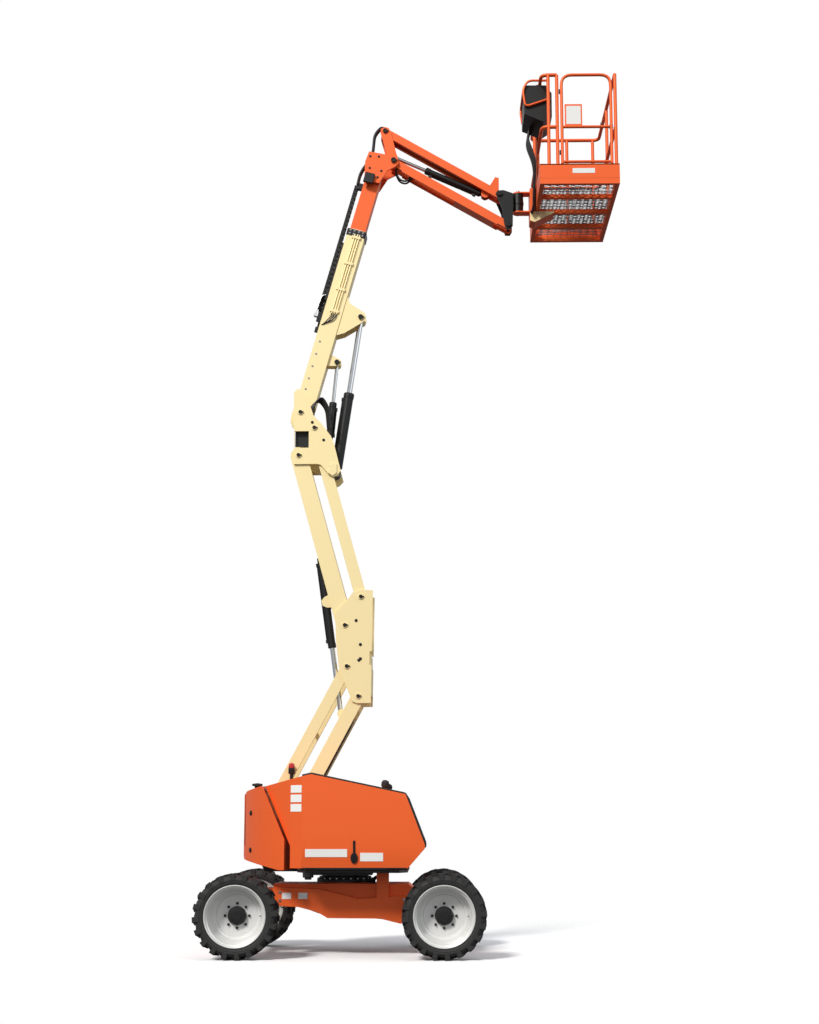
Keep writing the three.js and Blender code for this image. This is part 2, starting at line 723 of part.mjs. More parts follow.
// Upper upright: outer plates beside the tower's bars, inner plates beside the boom.
// It carries the boom pivot and the feet of the lift and level cylinders.
function upperUpright() {
  const plate = [
    [-46, -96], [200, -94], [232, -104], [316, -201], [357, -233], [400, -214], [440, -169],
    [365, 130], [333, 205], [228, 346], [154, 421], [89, 605], [10, 700], [-20, 712], [-55, 670],
  ];
  const window = [[-43, 78], [105, 78], [105, 256], [-43, 256]];
  const plates = bothSides((side) => {
    return cut(sidePlate(plate, plateInnerY, plateOuterY, side), sidePlate(window, 200, 300, side));
  });
  const boom = boomPivotRise;
  const tubes = [
    pin([0, 0], towerPinRadius, -plateOuterY - 8, plateOuterY + 8),
    pin(upperCrank, towerPinRadius, -plateOuterY - 8, plateOuterY + 8),
    pin(boom, towerPinRadius, -plateOuterY - 8, plateOuterY + 8),
  ];
  const inner = [
    [-40, -40], [60, -60], [360, -200], [410, -190], [425, -130], [345, 190], [300, 225], [215, 340],
    [70, 500], [0, 512], [-45, 470],
  ];
  const innerPlates = bothSides((side) => sidePlate(inner, innerPlateY, innerPlateY + 16, side));
  const feet = [[liftBase, 32, liftEyeHalf], [levelBase, 24, levelEyeHalf]].map(([at, radius, eye]) => {
    return bothSides((side) => {
      const y = [side * (eye + sideGap), side * (innerPlateY + 1)].sort((a, b) => a - b);
      return pin(at, radius, y[0], y[1], 16);
    });
  });
  return join(plates, innerPlates, tubes, feet);
}

// ---------------------------------------------------------------- cylinders
// Barrel along +X from its pin: eye, then a tube of the given length bored for the rod.
function barrelFrom(pinRadius, eyeHalf, outer, bore, length, tail = 0) {
  const body = turnedAlongX([
    [0, -tail], [outer, -tail], [outer, length], [bore, length], [bore, 40 - tail], [0, 40 - tail],
  ], [0, 0, 0]);
  const eye = pin([0, 0], pinRadius, -eyeHalf, eyeHalf, 20);
  const hollow = turnedAlongX([[0, 40 - tail], [bore, 40 - tail], [bore, length], [0, length]], [0, 0, 0]);
  return join(body, cut(eye, hollow));
}

function eyedBarrel(eyeRadius, eyeHalf, outer, bore, length) {
  const neck = eyeRadius * 0.7;
  const shoulder = eyeRadius + 12;
  const slim = Math.min(outer, eyeHalf) * 0.7;
  const body = turnedAlongX([
    [0, neck], [slim, neck], [slim, shoulder], [outer, shoulder + 16], [outer, length], [bore, length],
    [bore, shoulder + 30], [0, shoulder + 30],
  ], [0, 0, 0]);
  return join(body, pin([0, 0], eyeRadius, -eyeHalf, eyeHalf, 20));
}

// Rod from its inner end to its eye, along +X.
function rodTo(start, end, radius, eyeRadius, eyeHalf) {
  const rod = turnedAlongX([[0, start], [radius, start], [radius, end - eyeRadius * 0.6], [0, end - eyeRadius * 0.6]],
    [0, 0, 0]);
  return join(rod, pin([end, 0], eyeRadius, -eyeHalf, eyeHalf, 20));
}

// Places a cylinder's barrel and rod from the barrel's pin towards the rod's pin.
function cylinder(name, from, to, y, barrel, rod) {
  const frame = frameAt(`${name}_pin`, from, heading(from, to));
  frame.position.y = y;
  place(`${name}_barrel`, barrel, black, frame);
  place(`${name}_rod`, rod, chrome, frame);
}

// ---------------------------------------------------------------- main boom
function boxTube(x0, x1, halfWidth, halfDepth, wall) {
  const outer = block([x0, x1], [-halfWidth, halfWidth], [-halfDepth, halfDepth]);
  const inner = block([x0 - 5, x1 + 5], [-halfWidth + wall, halfWidth - wall], [-halfDepth + wall, halfDepth - wall]);
  return cut(outer, inner);
}

function boomBase() {
  const shell = boxTube(150, boomBaseLength, boomHalfWidth, boomHalfDepth, boomWall);
  const heel = [
    [-135, -20], [-112, -78], [-60, -120], [0, -128], [90, -100], [220, -98], [220, 98], [0, 110],
    [-90, 100], [-135, 40],
  ];
  const cheeks = bothSides((side) => sidePlate(heel, boomHalfWidth - 22, boomHalfWidth, side));
  const sleeve = pin([0, 0], 62, -boomHalfWidth + 1, boomHalfWidth - 1);
  const liftBracket = [
    [950, -97], [1420, -97], [1330, -150], [1270, -330], [1240, -352], [1186, -352], [1000, -180],
  ];
  const liftLugs = bothSides((side) => sidePlate(liftBracket, liftEyeHalf + 1, liftEyeHalf + 19, side));
  const levelBracket = [[610, -97], [740, -97], [715, -218], [690, -232], [655, -232], [640, -218]];
  const levelLugs = bothSides((side) => sidePlate(levelBracket, levelEyeHalf + 1, levelEyeHalf + 15, side));
  const bosses = bothSides((side) => {
    const lift = [side * (liftEyeHalf + 18), side * (liftEyeHalf + 30)].sort((a, b) => a - b);
    const level = [side * (levelEyeHalf + 14), side * (levelEyeHalf + 24)].sort((a, b) => a - b);
    return join(pin(liftPin, 24, lift[0], lift[1], 16), pin(levelPin, 18, level[0], level[1], 16));
  });
  const bore = pin([0, 0], towerPinRadius + pinGap, -boomHalfWidth - 5, boomHalfWidth + 5);
  return cut(join(shell, cheeks, sleeve, liftLugs, levelLugs, bosses), bore);
}

const carrierY = boomHalfWidth + fitGap;

// Hose tray and its steel tubes along the near side of the base section.
function hoseCarrier() {
  const tray = block([1190, 2070], [-carrierY - 5, -carrierY], [-60, 30]);
  const tubes = [-44, -18, 8].map((z) => turnedAlongX([[0, 0], [7, 0], [7, 860], [0, 860]], [1200, -carrierY - 10, z], 10));
  const clamps = [1230, 1640, 2040].map((x) => block([x - 14, x + 14], [-carrierY - 18, -carrierY - 3], [-62, 32]));
  return join(tray, tubes, clamps);
}

// A jib pin in two halves, leaving the middle free for the jib cylinder.
function pinStubs(at, outer) {
  return bothSides((side) => {
    const y = [side * (jibEyeHalf + 5), side * outer].sort((a, b) => a - b);
    return pin(at, jibPinRadius, y[0], y[1], 20);
  });
}

// Fly section inside the base, its nose cheeks carrying the jib pivot.
function flyBoom() {
  const start = 800;
  const shell = boxTube(start, start + flyLength, flyHalfWidth, flyHalfDepth, boomWall);
  const nose = [
    [2700, -82], [2860, -130], [2930, -205], [2975, -225], [3030, -200], [3040, -150], [3020, 118],
    [2900, 128], [2700, 82],
  ];
  const cheeks = bothSides((side) => sidePlate(nose, jibNoseInner, jibNoseInner + 18, side));
  const fill = block([2702, 2820], [-flyHalfWidth + 1, flyHalfWidth - 1], [54, 81]);
  const shims = bothSides((side) => {
    const y = [side * (flyHalfWidth - 4), side * (jibNoseInner + 1)].sort((a, b) => a - b);
    return block([2702, 2835], y, [-80, 80]);
  });
  return join(shell, cheeks, fill, shims, pinStubs(jibPivot, jibNoseInner + 26));
}

const jibBracketInner = jibBarOuterY + sideGap;
const jibBracketOuter = jibBracketInner + jibPlateThickness;
const jibNoseInner = jibBracketOuter + sideGap;

const trackBottom = boomHalfDepth + 6;

// Fixed lower run of the hose chain, on the boom's back.
function trackTray() {
  return join(
    block([1000, 1980], [-trackHalfWidth - 4, trackHalfWidth + 4], [boomHalfDepth + fitGap, trackBottom]),
    block([1000, 1980], [-trackHalfWidth, trackHalfWidth], [trackBottom - 1, trackBottom + 24]),
  );
}

// Moving upper run of the chain, held to the fly by an arm at its outer end.
function trackRun() {
  const low = trackBottom + 30;
  const run = block([1190, 2690], [-trackHalfWidth, trackHalfWidth], [low, low + 26]);
  const arm = block([2610, 2690], [-24, 24], [flyHalfDepth + fitGap, low + 2]);
  return join(run, arm);
}

// ---------------------------------------------------------------- jib
// Bracket kept level at the boom's nose: two outer plates, both jib pins and the lugs of the jib cylinder's rod.
function jibBracket() {
  const plate = [
    [-46, -20], [-30, -46], [20, -50], [46, -24], [44, 30], [-30, 330], [-54, 380], [-96, 394],
    [-140, 372], [-142, 330],
  ];
  const plates = bothSides((side) => sidePlate(plate, jibBracketInner, jibBracketOuter, side));
  const pins = [
    pin(jibCrank, jibPinRadius, -jibBracketOuter - 6, jibBracketOuter + 6, 20),
  ];
  const lug = [[-42, -34], [30, -34], [40, 90], [10, 140], [-60, 372], [-126, 340], [-80, 255], [-38, 90]];
  const lugs = bothSides((side) => sidePlate(lug, 24, 34, side));
  const bore = pin([0, 0], jibPinRadius + pinGap, -jibBracketOuter - 5, jibBracketOuter + 5, 20);
  return cut(join(plates, pins, lugs), bore);
}

// A jib arm of two bars, closed on top or bottom by a plate.
function jibArm(cover, lugs = []) {
  const bars = bothSides((side) => {
    return sidePlate(strapOutline(jibLength, jibHalfDepth, 4), jibBarInnerY, jibBarOuterY, side);
  });
  const bores = [0, jibLength].map((along) => pin([along, 0], jibPinRadius + pinGap, -90, 90, 20));
  return cut(join(bars, cover, lugs), bores);
}

function jibUpperArm() {
  const cover = block([90, 1330], [-jibBarInnerY - 2, jibBarInnerY + 2], [28, jibHalfDepth]);
  const tab = sidePlate([[1290, 39], [1400, 39], [1330, 160], [1290, 150]], jibBarInnerY + 4, jibBarOuterY, -1);
  const lug = [[1205, 30], [1245, -70], [1265, -92], [1305, -92], [1327, -66], [1345, 30]];
  const lugs = bothSides((side) => sidePlate(lug, jibEyeHalf + sideGap, 38, side));
  const spacers = bothSides((side) => {
    const y = [side * 37, side * (jibBarInnerY + 1)].sort((a, b) => a - b);
    return block([1225, 1325], y, [-30, 30]);
  });
  return jibArm(cover, [tab, lugs, spacers]);
}

function jibLowerArm() {
  const under = -jibHalfDepth - 3;
  const cover = block([780, 1280], [-jibBarOuterY, jibBarOuterY], [under - 10, under]);
  const strips = bothSides((side) => {
    const y = [side * (jibBarOuterY - 20), side * jibBarOuterY].sort((a, b) => a - b);
    return block([130, 1320], y, [under - 10, -jibHalfDepth + 1]);
  });
  return jibArm(cover, strips);
}

// Head at the jib's outer end, with the rotator drum standing on it.
function jibHead() {
  const low = minus(headLowerPin, headUpperPin);
  const plate = [
    [-44, 10], [-20, 42], [40, 46], [rotatorFromHead - 60, 10], [rotatorFromHead - 60, -150],
    [low[0] + 44, low[1] - 10], [low[0] + 20, low[1] - 46], [low[0] - 30, low[1] - 44],
    [low[0] - 46, low[1] + 10], [20, -150],
  ];
  const plates = bothSides((side) => sidePlate(plate, jibBracketInner, jibBracketOuter, side));
  const pins = [pin([0, 0], jibPinRadius, -jibBracketOuter - 6, jibBracketOuter + 6, 20), pinStubs(low, jibBracketOuter + 6)];
  const web = block([rotatorFromHead - 92, rotatorFromHead - 60], [-jibBracketOuter, jibBracketOuter], [-140, 6]);
  const neck = block([rotatorFromHead - 62, rotatorFromHead], [-34, 34], [-130, -10]);
  const drum = post([rotatorFromHead, 0], rotatorRadius, -70 - rotatorHeight / 2, -70 + rotatorHeight / 2, 24);
  return join(plates, pins, web, neck, drum);
}

// ---------------------------------------------------------------- platform, drawn from the rotator axis
const drumTop = -70 + rotatorHeight / 2;
const drumBottom = -70 - rotatorHeight / 2;

// Plates over and under the rotator, an upright and an arm under the floor.
function platformSupport() {
  const armEnd = platformStandOff - 46;
  const arm = (low, high) => {
    return join(post([0, 0], rotatorRadius + 2, low, high, 24), block([0, armEnd], [-54, 54], [low, high]));
  };
  const upper = arm(drumTop + fitGap, drumTop + 16);
  const lower = arm(drumBottom - 16, drumBottom - fitGap);
  const upright = block([platformStandOff - 60, platformStandOff - 12], [-110, 110], [-200, drumTop + 30]);
  const wedge = sideProfile([
    [platformStandOff - 60, -195], [platformStandOff - 60, -300], [platformStandOff - 10, -318],
    [platformStandOff + 200, -214], [platformStandOff + 200, platformUnder - fitGap],
    [platformStandOff - 12, platformUnder - fitGap],
  ], -90, 90);
  return join(upper, lower, upright, wedge);
}

const floorX = [platformStandOff, platformStandOff + platformLength];
const floorY = [-platformWidth / 2, platformWidth / 2];
const floorTop = platformUnder + platformFloorDepth;

const railX = [floorX[0] + 8 + fitGap + railRadius, floorX[1] - 8 - fitGap - railRadius];
const railY = floorY[1] - 8 - fitGap - railRadius;
const railZ = platformUnder + railHeight;
const midZ = platformUnder + midRailHeight;
const gatePostX = railX[0] + 160;
const railBend = 70;
const socketHeight = 6;
const consoleY = -390;
const railPosts = [
  [railX[0] + railBend, -railY], [gatePostX, -railY], [railX[1], -railY], [railX[1], 0],
  [railX[1] - railBend, railY], [railX[0] + 400, railY], [railX[0] + railBend, railY], [railX[0], 300],
  [railX[0], consoleY + 240],
];

// Floor tray with toe boards and a socket under every rail post.
function platformFloor() {
  const frame = cut(
    block(floorX, floorY, [platformUnder, floorTop]),
    block([floorX[0] + 44, floorX[1] - 44], [floorY[0] + 44, floorY[1] - 44], [platformUnder - 5, floorTop - 14]),
  );
  const beams = [-380, 0, 380].map((y) => {
    return block([floorX[0] + 40, floorX[1] - 40], [y - 22, y + 22], [platformUnder + 4, floorTop - 10]);
  });
  const rim = cut(
    block(floorX, floorY, [floorTop - 1, floorTop + toeBoardHeight]),
    block([floorX[0] + 8, floorX[1] - 8], [floorY[0] + 8, floorY[1] - 8], [floorTop - 5, floorTop + toeBoardHeight + 5]),
  );
  const half = railRadius + 3;
  const sockets = railPosts.map(([x, y]) => {
    return block([x - half, x + half], [y - half, y + half], [floorTop - 1, floorTop + socketHeight]);
  });
  return join(frame, beams, rim, sockets);
}

// Top and middle rails round three sides and a half, on posts; the gate closes the gap on the near side.
function platformRails() {
  const loop = (z, start) => tube([
    [start, -railY, z], [railX[0], -railY, z], [railX[0], railY, z], [railX[1], railY, z], [railX[1], -railY, z],
  ], railRadius, railBend);
  const postBase = floorTop + socketHeight + fitGap;
  const posts = railPosts.map((at) => post(at, railRadius - 1, postBase, railZ, 10));
  return join(loop(railZ, gatePostX), loop(midZ, gatePostX), posts);
}

// Swinging gate: a round-cornered hoop with one cross rail, hinged at the gate post.
function platformGate() {
  const x0 = gatePostX + 2 * railRadius + 6;
  const x1 = railX[1] - 2 * railRadius - 8;
  const z0 = floorTop + toeBoardHeight + 12 + railRadius;
  const r = railRadius - 3;
  const hoop = tube([
    [x0, -railY, z0 - r], [x0, -railY, railZ], [x1, -railY, railZ], [x1, -railY, z0 - r],
  ], r, railBend);
  const bars = [midZ, z0].map((z) => turnedAlongX([[0, 0], [r - 1, 0], [r - 1, x1 - x0], [0, x1 - x0]], [x0, -railY, z], 10));
  const hinges = [z0 + 120, railZ - 200].map((z) => {
    return block([gatePostX + railRadius + 2, x0], [-railY - 8, -railY + 8], [z - 24, z + 24]);
  });
  return join(hoop, bars, hinges);
}

// Control box hung from the platform's inner end rail.
function controlConsole() {
  const x = railX[0];
  const low = midZ + 130;
  const high = railZ - railRadius - 16;
  const side = [
    [x - 170, low + 90], [x + 30, low], [x + 120, low + 60], [x + 120, high - 90], [x + 60, high], [x - 150, high],
    [x - 170, high - 30],
  ];
  const box = sideProfile(side, consoleY - 200, consoleY + 200);
  const hangers = bothSides((side) => {
    const y = consoleY + side * 150;
    return block([x - 16, x + 16], [y - 16, y + 16], [high - 2, railZ - railRadius - fitGap]);
  });
  return join(box, hangers);
}

// ---------------------------------------------------------------- assembly
for (const [end, x] of [["front", -axleX], ["rear", axleX]]) {
  for (const [hand, side] of [["left", -1], ["right", 1]]) {
    wheel(`wheel_${end}_${hand}`, x, side);
  }
}
place("chassis_frame", chassisFrame(), orange);
place("steer_axle", steerAxle(), orange);
place("knuckle_left", knuckle(-1), black);
place("knuckle_right", knuckle(1), black);
place("tie_rod", tieRod(), chrome);
place("steer_cylinder", steerCylinder(), black);
place("drive_axle", driveAxle(), orange);
place("slew_ring", slewRing(), black);

place("turntable_frame", turntableFrame(), black);
place("counterweight", counterweight(), orange);
place("engine_block", engineBlock(), steelGrey);
place("fluid_tank", fluidTank(), steelGrey);
const nearHood = hood();
place("hood_left", nearHood, orange);
place("hood_right", nearHood.mirror([0, 1, 0]), orange);

place("lower_arm", lowerArm(), cream, frameAt("lower_arm_pin", lowerArmBase, lowerArmAngle));
place("lower_link", lowerLink(), cream, frameAt("lower_link_pin", lowerLinkBase, lowerArmAngle));
place("mid_upright", midUpright(), cream, frameAt("mid_upright_pin", lowerArmTop));
place("upper_arm", upperArm(), cream, frameAt("upper_arm_pin", upperArmBase, upperArmAngle));
const upperLinkFrame = frameAt("upper_link_pin", upperLinkBase, upperArmAngle);
place("upper_link_left", upperLinkBar(-1), cream, upperLinkFrame);
place("upper_link_right", upperLinkBar(1), cream, upperLinkFrame);
place("upper_upright", upperUpright(), cream, frameAt("upper_upright_pin", upperArmTop));

const towerRodPoint = plus(lowerArmBase, turn(towerRodPin, lowerArmAngle));
const trunnionPoint = plus(upperArmBase, turn(towerTrunnion, upperArmAngle));
const towerSpan = distance(trunnionPoint, towerRodPoint);
const towerBarrelFront = 470;
const towerBarrelTail = 470;
cylinder("tower_cylinder", trunnionPoint, towerRodPoint, towerCylinderY,
  barrelFrom(50, trunnionHalf, towerBarrelRadius, 26, towerBarrelFront, towerBarrelTail),
  rodTo(towerBarrelFront - 270, towerSpan, 25.4, 30, 25.5));

const liftFoot = plus(upperArmTop, liftBase);
const liftTop = plus(boomPivot, turn(liftPin, boomAngle));
const liftBarrel = 885;
const liftRod = 868;
const liftSpan = distance(liftFoot, liftTop);
cylinder("lift_cylinder", liftFoot, liftTop, 0,
  eyedBarrel(44, liftEyeHalf, 52, 30, liftBarrel),
  rodTo(liftSpan - liftRod, liftSpan, 29.4, 38, liftEyeHalf));

const levelFoot = plus(upperArmTop, levelBase);
const levelTop = plus(boomPivot, turn(levelPin, boomAngle));
const levelBarrel = 455;
const levelRod = 478;
const levelSpan = distance(levelFoot, levelTop);
cylinder("level_cylinder", levelFoot, levelTop, 0,
  eyedBarrel(32, levelEyeHalf, 36, 19, levelBarrel),
  rodTo(levelSpan - levelRod, levelSpan, 18.4, 28, levelEyeHalf));

const boomFrame = frameAt("boom_pin", boomPivot, boomAngle);
place("boom_base", boomBase(), cream, boomFrame);
place("hose_carrier", hoseCarrier(), cream, boomFrame);
place("track_tray", trackTray(), black, boomFrame);
place("fly_boom", flyBoom(), orange, boomFrame);
place("hose_track", trackRun(), black, boomFrame);

place("jib_bracket", jibBracket(), orange, frameAt("jib_bracket_pin", jibPivotPoint));
place("jib_lower_arm", jibLowerArm(), orange, frameAt("jib_lower_pin", jibPivotPoint, jibAngle));
place("jib_upper_arm", jibUpperArm(), orange, frameAt("jib_upper_pin", jibUpperPivot, jibAngle));
place("jib_head", jibHead(), black, frameAt("jib_head_pin", headUpperPin));

const jibBarrelPoint = plus(jibUpperPivot, turn(jibBarrelPin, jibAngle));
const jibRodPoint = plus(jibPivotPoint, jibRodPin);
const jibSpan = distance(jibBarrelPoint, jibRodPoint);
const jibBarrel = 700;
cylinder("jib_cylinder", jibBarrelPoint, jibRodPoint, 0,
  eyedBarrel(30, jibEyeHalf, 34, 19.5, jibBarrel),
  rodTo(jibSpan - 900, jibSpan, 18.9, 26, 23));

const platformFrame = frameAt("rotator_axis", [rotatorX, headUpperPin[1]]);
place("platform_support", platformSupport(), orange, platformFrame);
place("platform_floor", platformFloor(), orange, platformFrame);
place("platform_rails", platformRails(), orange, platformFrame);
place("platform_gate", platformGate(), orange, platformFrame);
place("control_console", controlConsole(), black, platformFrame);

export default machine;
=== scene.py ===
"""Looks of an articulating boom lift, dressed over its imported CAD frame.

Each sub-assembly is a class that reads its places from the CAD nodes and joints, builds its own
detail meshes and hands them to the body they ride on. Metres, +Z up, -Y is the near side.
"""

import json
import logging
import math
from dataclasses import dataclass
from enum import Enum
from itertools import product
from typing import Sequence

import bmesh
import bpy
from mathutils import Matrix, Vector


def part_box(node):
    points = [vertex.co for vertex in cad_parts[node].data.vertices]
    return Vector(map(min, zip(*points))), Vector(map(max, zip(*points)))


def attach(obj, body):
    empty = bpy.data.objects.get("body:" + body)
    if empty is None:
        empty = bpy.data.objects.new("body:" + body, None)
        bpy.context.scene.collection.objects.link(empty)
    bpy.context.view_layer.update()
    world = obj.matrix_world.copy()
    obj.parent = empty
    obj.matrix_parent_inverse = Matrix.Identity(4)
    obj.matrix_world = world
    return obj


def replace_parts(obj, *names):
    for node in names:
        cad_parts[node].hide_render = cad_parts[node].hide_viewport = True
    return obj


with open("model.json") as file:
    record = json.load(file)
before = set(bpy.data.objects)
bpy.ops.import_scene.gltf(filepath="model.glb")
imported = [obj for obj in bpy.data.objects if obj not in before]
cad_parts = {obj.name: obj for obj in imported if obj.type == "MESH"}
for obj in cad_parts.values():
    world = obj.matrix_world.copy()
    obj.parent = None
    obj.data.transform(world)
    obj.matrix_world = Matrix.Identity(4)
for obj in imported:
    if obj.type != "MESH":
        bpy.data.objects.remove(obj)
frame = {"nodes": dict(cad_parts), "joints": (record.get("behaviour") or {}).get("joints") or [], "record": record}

log = logging.getLogger("boom_lift")

Point = Sequence[float]
JOINTS = {joint["name"]: joint for joint in frame["joints"]}
NEAR = -1
FAR = 1
SIDES = (NEAR, FAR)


# ------------------------------------------------------------------ shader maths
class Socket:
    """An output of a shader node that can be used in sums."""

    def __init__(self, tree: "ShaderTree", output: bpy.types.NodeSocket) -> None:
        self.tree = tree
        self.output = output

    def __add__(self, other: "Socket | float") -> "Socket":
        return self.tree.maths("ADD", self, other)

    def __radd__(self, other: float) -> "Socket":
        return self.tree.maths("ADD", other, self)

    def __sub__(self, other: "Socket | float") -> "Socket":
        return self.tree.maths("SUBTRACT", self, other)

    def __rsub__(self, other: float) -> "Socket":
        return self.tree.maths("SUBTRACT", other, self)

    def __mul__(self, other: "Socket | float") -> "Socket":
        return self.tree.maths("MULTIPLY", self, other)

    def __rmul__(self, other: float) -> "Socket":
        return self.tree.maths("MULTIPLY", other, self)

    def __truediv__(self, other: "Socket | float") -> "Socket":
        return self.tree.maths("DIVIDE", self, other)

    def clamped(self) -> "Socket":
        """This value held between 0 and 1."""
        return self.tree.maths("MAXIMUM", self.tree.maths("MINIMUM", self, 1.0), 0.0)


def add_node(group: bpy.types.NodeTree, kind: str, settings: dict | None,
             sockets: dict | None) -> bpy.types.Node:
    """Makes a node.

    Args:
        group: The node tree it goes into.
        kind: The node's type name.
        settings: Attributes to set on it.
        sockets: Input values or sockets to link from, by input name or index.

    Returns:
        The new node.
    """
    made = group.nodes.new(kind)
    for key, value in (settings or {}).items():
        setattr(made, key, value)
    for key, value in (sockets or {}).items():
        source = value.output if isinstance(value, Socket) else value
        if isinstance(source, bpy.types.NodeSocket):
            group.links.new(source, made.inputs[key])
        else:
            made.inputs[key].default_value = source
    return made


class ShaderTree:
    """A material's or world's node tree, filled through one node-making method."""

    def __init__(self, owner: bpy.types.Material | bpy.types.World) -> None:
        owner.use_nodes = True
        self.group = owner.node_tree
        self.group.nodes.clear()

    def node(self, kind: str, settings: dict | None = None, sockets: dict | None = None) -> bpy.types.Node:
        """Makes a node in this tree."""
        return add_node(self.group, kind, settings, sockets)

    def out(self, node: bpy.types.Node, name: str | int) -> Socket:
        """One output of a node as a Socket."""
        return Socket(self, node.outputs[name])

    def maths(self, operation: str, first: Socket | float, second: Socket | float) -> Socket:
        """A Math node on two values."""
        return self.out(self.node("ShaderNodeMath", {"operation": operation}, {0: first, 1: second}), 0)

    def mix(self, share: Socket | float, first: Socket | tuple, second: Socket | tuple) -> Socket:
        """A colour mix of two colours by a share."""
        sockets = {"Factor": share, 6: first, 7: second}
        return self.out(self.node("ShaderNodeMix", {"data_type": "RGBA"}, sockets), 2)

    def place(self) -> Socket:
        """Object coordinates."""
        return self.out(self.node("ShaderNodeTexCoord"), "Object")

    def seen(self) -> Socket:
        """1 where the camera itself looks, 0 for light that bounces."""
        return self.out(self.node("ShaderNodeLightPath"), "Is Camera Ray")

    def height(self) -> Socket:
        """Height above the ground in object coordinates."""
        split = self.node("ShaderNodeSeparateXYZ", None, {0: self.place()})
        return self.out(split, "Z")

    def noise(self, scale: float, detail: float = 3.0) -> Socket:
        """Smooth noise between 0 and 1."""
        sockets = {"Vector": self.place(), "Scale": scale, "Detail": detail}
        return self.out(self.node("ShaderNodeTexNoise", None, sockets), "Fac")

    def bump(self, amount: Socket, strength: float, distance: float) -> Socket:
        """A bumped normal."""
        sockets = {"Height": amount, "Strength": strength, "Distance": distance}
        return self.out(self.node("ShaderNodeBump", None, sockets), "Normal")

    def shader(self, kind: str, sockets: dict) -> Socket:
        """The output of a shader node."""
        return self.out(self.node(kind, None, sockets), 0)

    def surface(self, shader: Socket, output: str = "ShaderNodeOutputMaterial") -> None:
        """Connects a shader to the tree's output."""
        self.node(output, None, {"Surface": shader})


# ------------------------------------------------------------------ finishes
def rgba(colour: Point) -> tuple[float, float, float, float]:
    """A linear colour with full alpha."""
    return (*colour, 1.0)


@dataclass(frozen=True)
class Finish:
    """One surface finish.

    Attributes:
        name: The material's name.
        slot: The record's material slot, or an empty string.
        colour: Linear base colour.
        roughness: Mean roughness.
        metallic: 1 for bare metal.
        coat: Clear coat weight.
        mottle: How much the colour varies.
        grain: Strength of the fine surface grain.
        dust: Share of pale dust at ground level.
    """

    name: str
    slot: str
    colour: tuple[float, float, float]
    roughness: float
    metallic: float = 0.0
    coat: float = 0.0
    mottle: float = 0.06
    grain: float = 0.04
    dust: float = 0.0

    DUST_COLOUR = (0.32, 0.27, 0.21)
    DUST_TOP = 0.85

    def material(self) -> bpy.types.Material:
        """The finish as a material, made once."""
        known = bpy.data.materials.get(self.name)
        if known:
            return known
        made = bpy.data.materials.new(self.name)
        tree = ShaderTree(made)
        broad = tree.noise(2.2)
        fine = tree.noise(160.0, 2.0)
        darker = tuple(channel * (1.0 - self.mottle * 2.0) for channel in self.colour)
        colour = tree.mix(broad, rgba(darker), rgba(self.colour))
        if self.dust > 0.0:
            fade = (1.0 - tree.height() / self.DUST_TOP).clamped()
            share = fade * tree.noise(7.0, 6.0) * self.dust * 1.6
            colour = tree.mix(share.clamped(), colour, rgba(self.DUST_COLOUR))
        sockets = {
            "Base Color": colour,
            "Roughness": (self.roughness - 0.05 + broad * 0.1).clamped(),
            "Metallic": self.metallic,
            "Coat Weight": self.coat,
            "Coat Roughness": 0.12,
            "Normal": tree.bump(fine, self.grain, 0.001),
        }
        tree.surface(tree.shader("ShaderNodeBsdfPrincipled", sockets))
        return made


class Palette(Enum):
    """The finishes of the machine."""

    ORANGE = Finish("orange_paint", "orange_paint", (0.80, 0.086, 0.008), 0.36, coat=0.25, dust=0.12)
    CREAM = Finish("cream_paint", "cream_paint", (0.93, 0.76, 0.40), 0.38, coat=0.25)
    BLACK = Finish("black_paint", "black_paint", (0.012, 0.012, 0.014), 0.42, coat=0.1, dust=0.1)
    PLASTIC = Finish("black_plastic", "black_plastic", (0.014, 0.014, 0.015), 0.6, grain=0.15)
    HOSE = Finish("hose_rubber", "", (0.01, 0.01, 0.011), 0.5, grain=0.1)
    CHROME = Finish("chrome_rod", "chrome_rod", (0.72, 0.74, 0.77), 0.13, 1.0, mottle=0.02, grain=0.0)
    STEEL = Finish("bright_steel", "", (0.5, 0.5, 0.5), 0.32, 1.0)
    GREY = Finish("grey_steel", "grey_steel", (0.06, 0.06, 0.065), 0.5, dust=0.3)
    RIM = Finish("rim_paint", "rim_paint", (0.66, 0.67, 0.66), 0.42, coat=0.1, dust=0.15)
    TYRE = Finish("tyre_rubber", "tyre_rubber", (0.016, 0.016, 0.017), 0.82, grain=0.3, dust=0.22)
    LABEL = Finish("blank_plate", "", (0.82, 0.82, 0.8), 0.45, mottle=0.02)
    RED = Finish("red_cap", "", (0.45, 0.012, 0.01), 0.35, coat=0.3)

    def material(self) -> bpy.types.Material:
        """This finish's material."""
        return self.value.material()


